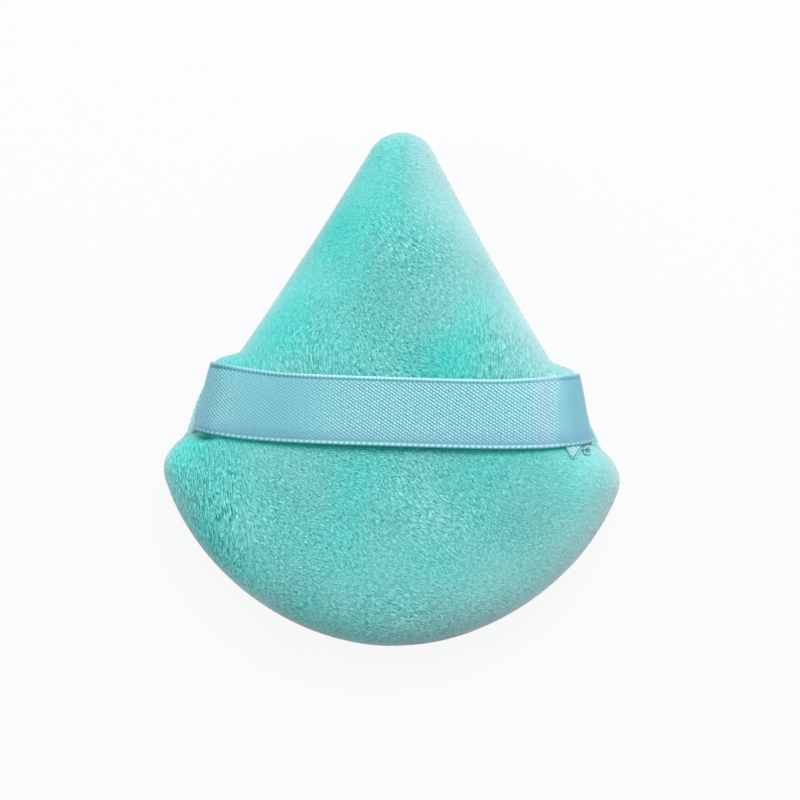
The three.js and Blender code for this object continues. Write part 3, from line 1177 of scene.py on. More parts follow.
@dataclass(frozen=True)
class PileTints:
    """Painted sheen, painted light and painted shade on the pile, and its brushed patches. A spot is x and
    y, its reach and its share.
    """

    # Painted sheen: a pale halo along the rim, wider towards the left, and on flanks facing right
    rim_width: float = 0.7
    rim_share: float = 0.5
    rim_wider: Fade = Fade(0.5, -4.0, -16.0)
    pale_side: Way = (0.95, -0.1, 0.0)
    pale_share: float = 0.66
    pale_patches: float = 0.03
    pale_limit: float = 0.9
    # Painted sheen near the point and near the base
    point: Fade = Fade(0.1, 24.0, 34.0)
    foot: Fade = Fade(0.06, -26.0, -36.0)
    # Painted light: flanks facing left are made brighter and more saturated
    deep_side: Way = (-0.95, 0.25, 0.0)
    deep_share: float = 0.95
    lean_limit: float = 0.6
    patch_share: float = 0.1
    deep_limit: float = 0.8
    deep_patches: tuple[Spot, ...] = (
        (10.0, 5.5, 6.0, 0.7), (12.0, 14.0, 5.0, 0.3), (-17.0, 8.0, 7.0, 0.12), (-4.0, 28.0, 5.0, 0.2),
        (1.0, 22.0, 6.0, -0.25), (-9.0, 7.0, 6.0, -0.25), (-6.0, -14.0, 5.0, 0.25), (18.0, -14.0, 7.0, 0.2))
    mint_spot: Spot = (30.0, -12.0, 5.0, 0.8)
    mint_pale: float = 0.12
    # Painted shade: above the strap's middle, inside the loop of the loose thread and beside the folded end
    painted_shade_spots: tuple[Spot, ...] = (
        (9.0, 5.0, 8.0, 0.12), (30.05, -8.5, 0.5, 0.9), (28.0, -8.0, 1.1, 0.35))
    # Painted shadow in the gap under the strap's left end, and in a strip along the strap's lower edge
    gap_shade: float = 0.95
    strap_shadow_foot: Span = (-1.3, 0.0)
    strap_shadow_head: Span = (2.0, 0.0)
    strap_shadow_height: float = 10.0
    strap_shadow_deep: float = 0.95
    strap_shadow_dark: float = 0.4


@dataclass(frozen=True)
class EndBulge:
    """How a panel puffs out beside the strap's ends.

    Ways along the pad are counted from the strap's edges, and heights from the floor.
    """

    size: float = 0.95
    foot: Span = (-1.2, 0.3)
    rim: Span = (0.75, 1.0)
    least_reach: float = 1.0
    front_fall: Span = (0.2, -0.7)
    front_heights: Span = (12.5, 7.5)
    back_from_head: float = 1.0
    back_to_foot: float = 3.5
    back_heights: Span = (0.0, 4.5)
    right_tuck: float = 0.6
    tuck_rise: Span = (0.4, 3.4)


@dataclass
class VelourCover:
    """One velour panel: its brushed face, the lip that rolls into the seam, and its inside."""

    shape: PadShape
    side: Side
    seed: int
    brush: BrushMap = BrushMap()
    tints: PileTints = PileTints()
    ends: EndBulge = EndBulge()
    rings: int = 150
    nap_depth: float = 0.06
    tuft_size: float = 0.42
    dip: float = 0.1
    patch_size: float = 9.0
    sway: float = 0.9
    sway_size: float = 14.0
    gap_middle: Point = (-29.2, -8.2)
    gap_reach: Span = (1.7, 0.6)
    gap_depth: float = 0.7
    lip: float = 0.4
    lip_turns: tuple[float, ...] = (30.0, 60.0, 90.0)
    closed_gap: float = 0.03
    strap_gap: float = 0.2
    strap_foot: Span = (-1.2, -0.2)
    strap_head: Span = (1.2, 0.2)
    ply: float = 1.1
    inside_rows: tuple[tuple[int, float], ...] = ((2, 5.2), (4, 8.5), (8, 12.5))
    face_map: tuple[Point, Point] = ((0.005, 0.105), (0.99, 0.89))
    strip_map: tuple[Point, Point] = ((0.005, 0.005), (0.95, 0.09))
    cut: tuple[float, float, float] = field(init=False)
    piece: Piece = field(init=False)

    def build(self) -> Piece:
        """Make the panel's mesh with its relief.

        Returns:
            The panel.
        """
        face = PadFace(self.shape, self.side)
        self.cut = face.cut_size()
        grid = RoundGrid(self.rings)
        outer = face.place(grid.turn, grid.depth)
        turn = grid.turn[grid.border]
        rows = self.seam_rows(face, turn)
        places = np.concatenate([outer, *rows])
        faces = self.shell_faces(grid, rows, len(outer))
        if self.side is Side.BACK:
            faces = [part[:, ::-1] for part in faces]
        self.piece = mesh_piece(f"{self.side.value}_velour", places, faces)
        self.add_relief(face, grid, places)
        self.add_map(grid, rows, faces)
        return self.piece

    def seam_rows(self, face: PadFace, turn: Array) -> list[Array]:
        """Trace the lip, the turned-in edge and the inside of the panel.

        Args:
            face: the face that the rows go on from.
            turn: turns of the face's rim.

        Returns:
            Rows of places, of which the inside's have fewer, and the inside's middle.
        """
        shape, up = self.shape, self.side.up
        rim_y = face.place(turn, np.zeros_like(turn))[:, 1]
        at_strap = smooth_step(self.strap_foot, rim_y, shape.seat_foot[1]) * smooth_step(
            self.strap_head, rim_y, shape.seat_head[1])
        gap = self.closed_gap + (self.strap_gap - self.closed_gap) * at_strap
        drop = shape.seam_gap / 2 - gap
        edge = shape.seam_height + up * shape.seam_gap / 2
        rows = []
        for angle in np.radians(self.lip_turns):
            spots = face.inset(turn, self.lip * (1 - math.cos(angle)))
            rows.append(np.column_stack([spots, edge - up * drop * math.sin(angle)]))
        fold = shape.seam_height + up * (shape.seam_gap / 2 + self.ply)
        spots = face.inset(turn, shape.seam_allowance)
        for height in (edge - up * drop, fold):
            rows.append(np.column_stack([spots, np.broadcast_to(height, len(turn))]))
        for every, distance in self.inside_rows:
            spots = face.inset(turn[::every], distance)
            inside = shape.section(self.side, np.full(len(spots), distance)) - up * shape.velour
            rows.append(np.column_stack([spots, inside]))
        middle = shape.section(self.side, np.array([shape.deepest])) - up * shape.velour
        rows.append(np.array([[*shape.middle, middle[0]]]))
        return rows

    @staticmethod
    def shell_faces(grid: RoundGrid, rows: list[Array], first: int) -> list[Array]:
        """Join the face and the rows inside it into one closed shell.

        Args:
            grid: grid of the face.
            rows: rows that go on from the grid's border.
            first: number of the first row's first vertex.

        Returns:
            Faces with four and with three corners.
        """
        quads, threes = [grid.faces], []
        outer = grid.border
        for row in rows:
            inner = first + np.arange(len(row))
            first += len(row)
            after = np.roll(outer, -1)
            if len(inner) == len(outer):
                quads.append(np.column_stack([after, outer, inner, np.roll(inner, -1)]))
            elif len(inner) == 1:
                threes.append(np.column_stack([after, outer, np.broadcast_to(inner, len(outer))]))
            else:
                next_inner = np.roll(inner, -1)
                threes.append(np.column_stack([outer[1::2], outer[::2], inner]))
                quads.append(np.column_stack([after[1::2], outer[1::2], inner, next_inner]))
            outer = inner
        return [np.concatenate(quads), np.concatenate(threes)]

    def add_relief(self, face: PadFace, grid: RoundGrid, places: Array) -> None:
        """Press the gaps between tufts into the face, and keep how its pile lies.

        Args:
            face: the smooth face.
            grid: grid of the face.
            places: places of all vertices, before the relief.
        """
        count = len(grid.turn)
        spots = places[:, :2].copy()
        spots[:count] = face.flat_spot(grid.turn, grid.depth)
        maps = PileMaps(self.seed)
        tufts = maps.blobs(self.tuft_size, spots)
        patches = maps.blobs(self.patch_size, spots)
        sway = [self.sway * maps.blobs(self.sway_size, spots) for _ in range(2)]
        nap = squeezed(tufts)
        press = self.nap_depth * (1 - nap) + self.dip * squeezed(patches)
        press += self.gap_depth * self.strap_gap_share(places)
        press[count:] = 0.0
        normals = vertex_normals(self.piece)
        moved = places - normals * press[:, None]
        moved[:, 0] += np.sign(places[:, 0]) * self.strap_bulge(places)
        if self.side is Side.BACK:
            moved[:, 2] = np.maximum(moved[:, 2], 0.0)
        move_vertices(self.piece, moved)
        store(self.piece, "nap", nap)
        store_places(self.piece, "brush", np.column_stack([spots + np.stack(sway, -1), nap]))
        for name, shares in self.brush.shares(spots).items():
            store(self.piece, name, shares)
        # Distances from the rim and smoothed normals, for the painted sheen, light and shade
        edge = np.zeros(len(places))
        rim = face.place(grid.turn, np.zeros_like(grid.turn))
        edge[:count] = np.linalg.norm(places[:count, :2] - rim[:, :2], axis=1)
        leans = normals.copy()
        leans[:count] = face.lean(grid.turn, grid.depth)
        self.add_tints(places, leans, patches, edge)

    def strap_bulge(self, places: Array) -> Array:
        """Give how far the panel puffs out past the strap's ends, or is drawn in under them.

        Args:
            places: places of all vertices.

        Returns:
            The way outwards at each place.
        """
        ends, foot, head = self.ends, self.shape.seat_foot[1], self.shape.seat_head[1]
        x, y, z = places.T
        inside = np.abs(x) / np.maximum(self.shape.flank_reach(y), ends.least_reach)
        bulge = ends.size * smooth_step(ends.foot, y, foot) * smooth_step(ends.rim, inside)
        if self.side is Side.FRONT:
            below = smooth_step(ends.front_fall, y, foot) * smooth_step(ends.front_heights, z)
            return bulge * below - self.shape.pinch(places)
        tucked = ends.right_tuck * (x > 0.0) * smooth_step(ends.tuck_rise, y, foot)
        fade = smooth_step((head + ends.back_from_head, foot + ends.back_to_foot), y)
        return bulge * (1 - tucked) * fade * smooth_step(ends.back_heights, z)

    def strap_gap_share(self, places: Array) -> Array:
        """Give 1 in the small gap under the strap's left end on the front, falling to 0 round it."""
        away = (places[:, :2] - self.gap_middle) / self.gap_reach
        return np.exp(-np.sum(away ** 2, axis=1)) * (self.side is Side.FRONT)

    def spot_share(self, places: Array, spot: Spot) -> Array:
        """Give the share of a tinted spot of the front, most at its middle and less round it.

        Args:
            places: places of all vertices.
            spot: x and y of its middle, its reach and its share.

        Returns:
            One share for each place, all 0 on the back panel.
        """
        x, y, reach, share = spot
        away = np.hypot(places[:, 0] - x, places[:, 1] - y) / reach
        return share * np.exp(-away ** 2) * (self.side is Side.FRONT)

    def add_tints(self, places: Array, leans: Array, patches: Array, edge: Array) -> None:
        """Keep the painted sheen, light and shade of the pile, by the way the face leans and where the strap
        lies, with its brushed patches.

        Args:
            places: smooth places of all vertices.
            leans: their normals, smoothed along the rim.
            patches: values of the larger brushed patches.
            edge: distances from the rim as seen from above.
        """
        tints, shape = self.tints, self.shape
        x, y, z = places.T
        # Painted sheen on flanks facing right and along the rim; painted light on flanks facing left
        right, left = leans @ tints.pale_side, leans @ tints.deep_side
        wider = 1 + tints.rim_wider.at(x)
        rim = tints.rim_share * np.exp(-edge / tints.rim_width / wider)
        pale = tints.pale_share * np.maximum(right, 0.0) + rim - tints.pale_patches * patches
        pale += tints.point.at(y) + tints.foot.at(y)
        deep = np.minimum(tints.deep_share * left, tints.lean_limit) + tints.patch_share * patches
        for patch in tints.deep_patches:
            deep += self.spot_share(places, patch)
        mint = self.spot_share(places, tints.mint_spot)
        pale += tints.mint_pale * mint
        store(self.piece, "pale", np.clip(pale, 0.0, tints.pale_limit))
        # Painted shadow in a strip below the strap's lower edge, on top of the pad
        hang = shape.seat_foot[1] - shape.bow(x / shape.seat_foot[0])
        strap_shadow = smooth_step(tints.strap_shadow_foot, y, hang) * smooth_step(tints.strap_shadow_head, y)
        strap_shadow *= z > tints.strap_shadow_height
        deep = np.clip(deep, 0.0, tints.deep_limit)
        store(self.piece, "deep", np.maximum.reduce([deep, mint, tints.strap_shadow_deep * strap_shadow]))
        # Painted shade in spots, in the gap under the strap's left end and in the strip below the strap
        shades = [self.spot_share(places, spot) for spot in tints.painted_shade_spots]
        shades += [tints.gap_shade * self.strap_gap_share(places), tints.strap_shadow_dark * strap_shadow]
        store(self.piece, "dark", np.maximum.reduce(shades))

    def add_map(self, grid: RoundGrid, rows: list[Array], faces: list[Array]) -> None:
        """Lay the face out on a square, and everything inside it on a strip below.

        Args:
            grid: grid of the face.
            rows: rows that go on from the grid's border.
            faces: the piece's faces.
        """
        count = len(grid.turn)
        start, size = self.face_map
        square = start + grid.spots * size
        square = np.concatenate([square, np.zeros((sum(map(len, rows)), 2))])
        strip = np.zeros_like(square)
        first = count
        strip[grid.border, 0] = grid.turn[grid.border]
        for number, row in enumerate(rows, start=1):
            strip[first:first + len(row), 0] = np.arange(len(row)) / len(row)
            strip[first:first + len(row), 1] = number / len(rows)
            first += len(row)
        start, size = self.strip_map
        spots = []
        for part in faces:
            inside = (part >= count).any(axis=1)
            unrolled = strip[part]
            across = np.ptp(unrolled[..., 0], axis=1) > 0.5
            unrolled[..., 0] += across[:, None] & (unrolled[..., 0] < 0.5)
            unrolled = start + unrolled * size
            spots.append(np.where(inside[:, None, None], unrolled, square[part]).reshape(-1, 2))
        store_map(self.piece, np.concatenate(spots))

    def dress(self, finish: Material) -> None:
        """Give the panel its finish and its place in the frame.

        Args:
            finish: the velour.
        """
        self.piece.data.materials.append(finish)
        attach(self.piece, "pad")
        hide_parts(f"{self.side.value}_panel")


@dataclass(frozen=True)
class RibbonShade:
    """Tones of the ribbon, with its painted shade and painted highlight, by millimetres along it from its
    middle and across it from an edge.
    """

    bend_at: float = 25.3
    bend_slope: float = 0.11
    weave_left: float = 0.3
    weave_more: Fade = Fade(0.6, -16.0, -2.0)
    weave_bend: Fade = Fade(0.75, -0.7, 0.9)
    weave_end: Fade = Fade(0.3, -23.0, -28.0)
    weave_head: Span = (0.7, 0.95)
    weave_foot: Span = (0.6, 1.3)
    head_edge: Span = (0.45, 0.2)
    head_tone: float = 0.16
    dash_pitch: float = 0.62
    dash_tone: float = 0.3
    # The upper selvedge's groove: a dent in the relief, and a dotted darker line there that is painted shade
    groove: float = 0.66
    groove_spread: float = 0.16
    groove_tone: float = 0.45
    groove_fill: float = 0.7
    foot_tone: float = 0.38
    bead_row: float = 0.33
    bead_spread: float = 0.18
    bead_tone: float = 0.5
    bead_least: float = 0.15
    bead_more: float = 0.85
    hem_reach: Span = (2.4, 1.2)
    # Painted shade: the plain tone darker towards the left, past the right bend and at the left end
    left_dim: Fade = Fade(0.12, -8.0, -18.0)
    bend_dim: Fade = Fade(0.1, -0.5, 1.5)
    end_dim: Fade = Fade(0.2, -24.0, -29.0)
    # Painted highlight before the bend at the right end, toned down with some of the bluish painted shade
    shine: Fade = Fade(0.17, 20.3, 23.3)
    shine_bend: Span = (0.6, -0.6)
    shine_lilac: float = 0.9
    # Painted shade: a bluish tint along the lower edge and at both ends
    foot_lilac: Fade = Fade(0.35, 3.6, 0.8)
    foot_lilac_rise: Span = (0.45, 0.7)
    right_lilac: Fade = Fade(0.3, 25.0, 29.0)
    left_lilac: Fade = Fade(0.25, -29.0, -32.0)

    def shares(self, u: Array, low: Array, high: Array, bead: Array) -> dict[str, Array]:
        """Work out where the weave shows, the tone of the rest with its painted shade, and the painted
        highlight and shade tints.

        Args:
            u: millimetres along, from the middle.
            low: millimetres across, from the lower edge.
            high: millimetres across, from the upper edge.
            bead: 1 on the beads of the selvedges and 0 between them.

        Returns:
            Values for each place, under the names that the satin reads.
        """
        bend = u - self.bend_at - self.bend_slope * ((low - high) / 2)
        weave = self.weave_left + self.weave_more.at(u) - self.weave_bend.at(bend) + self.weave_end.at(u)
        inside = weave * smooth_step(self.weave_head, high) * smooth_step(self.weave_foot, low)
        dash = even_beads(u, self.dash_pitch)
        groove = ridge(high, self.groove, self.groove_spread) * (1 - self.groove_fill * dash)
        bright = smooth_step(self.head_edge, high) * (self.head_tone + self.dash_tone * dash)
        head = MIDDLE_TONE + bright - self.groove_tone * groove
        beads = ridge(low, self.bead_row, self.bead_spread) * (self.bead_least + self.bead_more * bead)
        foot = self.foot_tone + self.bead_tone * beads
        # Painted shade in the plain tone
        calm = MIDDLE_TONE - self.left_dim.at(u) - self.bend_dim.at(bend) - self.end_dim.at(u)
        hem = np.where(low < high, foot, head) - MIDDLE_TONE
        # Painted highlight, and painted bluish shade
        shine = self.shine.at(u) * smooth_step(self.shine_bend, bend)
        lilac = self.foot_lilac.at(low) * smooth_step(self.foot_lilac_rise, low) + self.shine_lilac * shine
        lilac += self.right_lilac.at(u) + self.left_lilac.at(u)
        return {
            "inside": inside,
            "hem": calm + hem * smooth_step(self.hem_reach, np.minimum(low, high)),
            "lilac": lilac,
            "shine": shine,
        }


@dataclass
class FingerStrap:
    """The satin ribbon across the face, with its ends in the seam."""

    shape: PadShape
    weave: SatinWeave = SatinWeave()
    shade: RibbonShade = RibbonShade()
    thickness: float = 0.3
    clearance: float = 0.3
    slack: float = 0.6
    settle: float = 4.0
    shoulder_run: float = 5.5
    probe: float = 0.8
    probe_reach: float = 9.0
    probe_steps: int = 50
    slope_step: float = 0.05
    tail_steps: int = 40
    turn_steps: int = 12
    face_steps: int = 160
    line_steps: int = 700
    ease_steps: int = 9
    traced_lines: int = 12
    columns: int = 684
    rows: int = 88
    coarser: int = 4
    under_edge: Span = (-0.25, 0.3)
    weave_relief: float = 0.02
    row_share: float = 0.6
    counter_share: float = 0.4
    hem: float = 0.5
    hem_rise: float = 0.06
    hem_least: float = 0.6
    hem_bead: float = 0.4
    bead_pitch: float = 0.86
    groove_width: float = 0.3
    dent_spread: float = 0.13
    dent_depth: float = 0.05
    dent_fill: float = 0.5
    edge_drop: Fade = Fade(0.16, 0.16, 0.0)
    upper_map: tuple[Point, Point] = ((0.01, 0.01), (0.98, 0.78))
    under_map: tuple[Point, Point] = ((0.01, 0.81), (0.98, 0.18))
    piece: Piece = field(init=False)

    def half_line(self, across: float) -> Array:
        """Trace one lengthwise line from the right end in the seam to the middle.

        Args:
            across: 0 at the lower edge to 1 at the upper edge.

        Returns:
            (n, 3) places, evenly spaced.
        """
        shape = self.shape
        seat = shape.seat_foot + (shape.seat_head - shape.seat_foot) * across
        offset = self.clearance + self.thickness / 2

        def hang(x: Array) -> Array:
            """Give how high on the pad the line runs at places x across it."""
            return seat[1] - shape.bow(x / seat[0])

        steps = np.concatenate([[0.0], np.linspace(self.probe, self.probe_reach, self.probe_steps)])
        depths = shape.edge_distance(seat[0] - steps, hang(seat[0] - steps))
        depths[0] = 0.0

        def inset(distance: Array) -> Array:
            """Give how far in from the seat a distance from the edge is reached."""
            return np.interp(distance, depths, steps)

        power = 2 / shape.crown_power
        top = shape.seam_height + shape.seam_gap / 2
        rise = shape.thickness - top
        shoulder = math.acos((1 - self.shoulder_run / shape.deepest) ** (1 / power))
        angle = np.linspace(0.0, shoulder, SIDE_STEPS)[1:]
        distance = shape.deepest * (1 - np.cos(angle) ** power)
        run = shape.deepest * power * np.cos(angle) ** (power - 1) * np.sin(angle)
        climb = rise * np.cos(angle)
        size = np.hypot(run, climb)
        x = seat[0] - np.maximum(inset(distance), self.probe)
        y = hang(x)
        step = self.slope_step
        toward = unit(np.stack([
            shape.edge_distance(x - step, y) - shape.edge_distance(x + step, y),
            shape.edge_distance(x, y - step) - shape.edge_distance(x, y + step)], -1))
        x = seat[0] - inset(distance)
        plan = np.column_stack([x, hang(x)]) + toward * (offset * climb / size)[:, None]
        over_side = np.column_stack([plan, top + rise * np.sin(angle) + offset * run / size])
        tail = np.linspace(shape.seam_allowance, 0.0, self.tail_steps)
        in_seam = np.column_stack([
            seat[0] - inset(tail), np.full_like(tail, seat[1]), np.full_like(tail, shape.seam_height)])
        turn = np.linspace(0.0, math.pi / 2, self.turn_steps)[1:, None]
        out_of_seam = np.hstack([
            seat + toward[0] * offset * np.sin(turn), shape.seam_height + offset * (1 - np.cos(turn))])
        start = over_side[-1]
        x = start[0] * (1 - np.linspace(0.0, 1.0, self.face_steps)[1:])
        lean = 1 - (x / start[0]) ** 2
        y = hang(x) + (start[1] - hang(start[0])) * np.maximum(0.0, 1 - self.settle * lean)
        crown = shape.section(Side.FRONT, shape.edge_distance(x, y))
        over_face = np.column_stack([x, y, crown + offset + self.slack * lean])
        whole = np.concatenate([in_seam, out_of_seam, over_side, over_face])
        whole[:, 0] -= shape.pinch(whole)
        return self.eased(respaced(whole, self.line_steps))

    def eased(self, line: Array) -> Array:
        """Round the small kinks off a line that goes on as its mirror image.

        Args:
            line: (n, 3) places, evenly spaced.

        Returns:
            (n, 3) places.
        """
        reach = self.ease_steps
        weights = np.hanning(2 * reach + 3)[1:-1]
        weights /= weights.sum()
        before = 2 * line[0] - line[reach:0:-1]
        after = line[-2:-2 - reach:-1] * MIRROR
        longer = np.concatenate([before, line, after])
        return np.stack([np.convolve(longer[:, i], weights, "valid") for i in range(3)], -1)

    def surface(self) -> Array:
        """Lay the middle surface of the ribbon out as a grid, from left to right.

        Returns:
            (columns + 1, rows + 1, 3) places.
        """
        count = self.traced_lines
        lines = np.array([self.half_line(k / count) for k in range(count + 1)])
        half = self.columns // 2
        at = np.linspace(0.0, lines.shape[1] - 1, half + 1)
        low = np.minimum(at.astype(int), lines.shape[1] - 2)
        part = (at - low)[None, :, None]
        lines = between(lines[:, low], lines[:, low + 1], part)
        share = np.linspace(0.0, count, self.rows + 1)
        low = np.minimum(share.astype(int), count - 1)
        part = (share - low)[:, None, None]
        right = between(lines[low], lines[low + 1], part).transpose(1, 0, 2)
        return np.concatenate([right * MIRROR, right[-2::-1]])

    def on_both_sides(self, values: Array) -> Array:
        """List the values of the fine upper grid, and then those that the coarser underside shares."""
        under = values[::self.coarser, ::self.coarser]
        return np.concatenate([side.reshape(-1, *values.shape[2:]) for side in (values, under)])

    def build(self) -> Piece:
        """Make the ribbon with its weave and selvedges.

        Returns:
            The ribbon.
        """
        middle = self.surface()
        normal = unit(np.cross(np.gradient(middle, axis=0), np.gradient(middle, axis=1)))
        along = run_along(middle[:, self.rows // 2])
        across = np.linspace(0.0, self.shape.strap_width, self.rows + 1)
        u, low = np.meshgrid(along - along[-1] / 2, across, indexing="ij")
        high = self.shape.strap_width - low
        bead = even_beads(u, self.bead_pitch)
        top = middle + normal * (self.thickness / 2 + self.relief(u, low, bead))[..., None]
        edge = smooth_step(self.under_edge, np.minimum(low, high))
        under = middle - normal * (self.thickness / 2 * edge)[..., None]
        under = under[::self.coarser, ::self.coarser]
        places = np.concatenate([top.reshape(-1, 3), under.reshape(-1, 3)])
        self.piece = mesh_piece("ribbon_strap", places, self.faces())
        flat = np.stack([u, low, np.zeros_like(u)], -1)
        store_places(self.piece, "cloth", self.on_both_sides(flat))
        for name, shares in self.shade.shares(u, low, high, bead).items():
            store(self.piece, name, self.on_both_sides(shares))
        self.add_map()
        return self.piece

    def relief(self, u: Array, v: Array, bead: Array) -> Array:
        """Work out how far the weave and the selvedges stand over the plain surface.

        Args:
            u: millimetres along, from the middle.
            v: millimetres across, from the lower edge.
            bead: 1 on the beads of the selvedges and 0 between them.

        Returns:
            The height at each place.
        """
        rows, counter, _ = (np.cos(wave[0] * u + wave[1] * v) for wave in self.weave.waves())
        edge = np.minimum(v, self.shape.strap_width - v)
        groove = self.shade.groove
        inside = smooth_step((groove, groove + self.groove_width), edge)
        hem = np.sqrt(np.clip(1 - ((edge - self.hem / 2) / (self.hem / 2)) ** 2, 0.0, 1.0))
        dent = self.dent_depth * ridge(edge, groove, self.dent_spread) * (1 - self.dent_fill * bead)
        height = inside * self.weave_relief * (self.row_share * rows + self.counter_share * counter)
        height += hem * self.hem_rise * (self.hem_least + self.hem_bead * bead) - dent
        return height - self.edge_drop.at(edge)

    def faces(self) -> list[Array]:
        """Join the fine upper grid, the coarser underside and the edges between them.

        Returns:
            Faces with four corners, and the edges' faces with more.
        """
        m, n, skip = self.columns, self.rows, self.coarser
        fine = np.arange((m + 1) * (n + 1)).reshape(m + 1, n + 1)
        low = (m + 1) * (n + 1) + np.arange((m // skip + 1) * (n // skip + 1))
        low = low.reshape(m // skip + 1, n // skip + 1)
        down = np.roll(grid_quads(low)[:, ::-1], 1, axis=1)
        edges = []
        loops = ((fine[:, 0], low[:, 0]), (fine[m], low[-1]),
                 (fine[::-1, n], low[::-1, -1]), (fine[0, ::-1], low[0, ::-1]))
        for upper, lower in loops:
            for k in range(len(lower) - 1):
                near = upper[k * skip:(k + 1) * skip + 1]
                edges.append([*near[::-1], lower[k], lower[k + 1]])
        return [np.concatenate([grid_quads(fine), down]), np.array(edges)]

    def add_map(self) -> None:
        """Lay the upper side out over most of a square, and the underside over the rest."""
        m, n, skip = self.columns, self.rows, self.coarser
        shares = np.stack(np.meshgrid(np.arange(m + 1) / m, np.arange(n + 1) / n, indexing="ij"), -1)
        fine, low = (start + shares * size for start, size in (self.upper_map, self.under_map))
        spots = np.concatenate([fine.reshape(-1, 2), low[::skip, ::skip].reshape(-1, 2)])
        mesh = self.piece.data
        corners = np.empty(len(mesh.loops), np.int32)
        mesh.loops.foreach_get("vertex_index", corners)
        store_map(self.piece, spots[corners])

    def dress(self, finish: Material) -> None:
        """Give the ribbon its finish, build its place into its mesh and hide the strap parts that it stands
        in for.

        Args:
            finish: the satin.
        """
        self.piece.data.materials.append(finish)
        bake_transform(self.piece)
        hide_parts("strap_span", "strap_left_end", "strap_right_end")


@dataclass
class FoamFilling:
    """The foam that fills the cover, with a groove round it for the seam's turned-in edges."""

    shape: PadShape
    depth: float = 2.1
    groove_depth: float = 4.8
    groove_foot: float = 4.4
    groove_top: float = 8.8
    steps: int = 26
    around: int = 480
    pore_size: float = 1.1
    pore_depth: float = 0.12
    seed: int = 31
    profile_steps: int = 400
    first_angle: float = 0.03
    last_angle: float = math.pi / 2 - 0.05
    middle_share: float = 0.97
    piece: Piece = field(init=False)

    def profile(self) -> Array:
        """Trace the section from the middle of the front to the middle of the back.

        Returns:
            (n, 2) distances from the edge and heights.
        """
        shape = self.shape
        angle = np.linspace(self.first_angle, self.last_angle, self.profile_steps)
        halves = []
        for side, run, power in ((Side.FRONT, shape.deepest, 2 / shape.crown_power),
                                 (Side.BACK, shape.underside_run, 1.0)):
            distance = run * (1 - np.cos(angle) ** power)
            line = np.column_stack([distance, shape.section(side, distance)])
            along = unit(np.gradient(line, axis=0))
            inward = np.column_stack([np.abs(along[:, 1]), -along[:, 0] * np.sign(along[:, 1])])
            line = line + self.depth * inward
            far = [[self.middle_share * shape.deepest, line[-1, 1]]]
            halves.append(np.concatenate([line, far]))
        front, back = halves
        front = respaced(front[front[:, 1] > self.groove_top], self.steps)[::-1]
        back = respaced(back[back[:, 1] < self.groove_foot], self.steps)
        groove = [[self.groove_depth, self.groove_top], [self.groove_depth, self.groove_foot]]
        return np.concatenate([front, groove, back])

    def build(self) -> Piece:
        """Make the filling with its pores.

        Returns:
            The filling.
        """
        face = PadFace(self.shape, Side.FRONT)
        turn = np.arange(self.around) / self.around
        rings = np.array([
            np.column_stack([face.inset(turn, distance), np.full(self.around, height)])
            for distance, height in self.profile()])
        places, faces = tube_mesh(rings[::-1])
        self.piece = mesh_piece("foam_filling", places, faces)
        pores = PileMaps(self.seed).blobs(self.pore_size, places[:, :2] + places[:, 2:])
        press = self.pore_depth * squeezed(pores)
        move_vertices(self.piece, places - vertex_normals(self.piece) * press[:, None])
        return self.piece

    def dress(self, finish: Material) -> None:
        """Give the filling its finish and its place in the frame.

        Args:
            finish: the foam.
        """
        self.piece.data.materials.append(finish)
        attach(self.piece, "pad")
        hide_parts("foam_core")


@dataclass
class SewnThread:
    """A sewing thread of three twisted plies along a smooth path."""

    name: str
    points: Array
    node: str = ""
    diameter: float = 0.3
    twist: float = 1.2
    step: float = 0.2
    sides: int = 12
    plies: int = 3
    core: float = 0.78
    ply_rise: float = 0.22
    end_ply: float = 0.5
    steps_between: int = 8
    piece: Piece = field(init=False)

    def path(self) -> Array:
        """Lay a smooth path through the points.

        Returns:
            (n, 3) places, evenly spaced.
        """
        points = self.points
        ends = np.concatenate([2 * points[:1] - points[1:2], points, 2 * points[-1:] - points[-2:-1]])
        a, b, c, d = ends[:-3], ends[1:-2], ends[2:-1], ends[3:]
        t = np.linspace(0.0, 1.0, self.steps_between + 1)[:-1, None, None]
        line = b + ((c - a) * t + (2 * a - 5 * b + 4 * c - d) * t ** 2
                    + (3 * b - a - 3 * c + d) * t ** 3) / 2
        line = np.concatenate([line.transpose(1, 0, 2).reshape(-1, 3), points[-1:]])
        return respaced(line, int(step_lengths(line).sum() / self.step) + 2)

    def build(self) -> Piece:
        """Make the thread.

        Returns:
            The thread.
        """
        path = self.path()
        along = np.gradient(path, axis=0)
        across = unit(np.cross([0.0, 0.0, 1.0], along))
        up = unit(np.cross(along, across))
        turn = np.linspace(0.0, 2 * math.pi, self.sides, endpoint=False)
        spin = 2 * math.pi * self.step / self.twist * np.arange(len(path))
        ply = np.abs(np.cos(self.plies / 2 * turn - self.plies / 2 * spin[:, None]))
        radius = (self.diameter / 2 * (self.core + self.ply_rise * ply))[..., None]
        rings = path[:, None] + radius * (
            np.cos(turn)[:, None] * across[:, None] + np.sin(turn)[:, None] * up[:, None])
        places, faces = tube_mesh(rings)
        self.piece = mesh_piece(self.name, places, faces)
        store(self.piece, "ply", np.append(ply.ravel(), [self.end_ply, self.end_ply]))
        return self.piece

    def dress(self, finish: Material) -> None:
        """Give the thread its finish and its place in the frame.

        Args:
            finish: the thread's finish.
        """
        self.piece.data.materials.append(finish)
        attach(self.piece, "pad")
        if self.node:
            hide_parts(self.node)


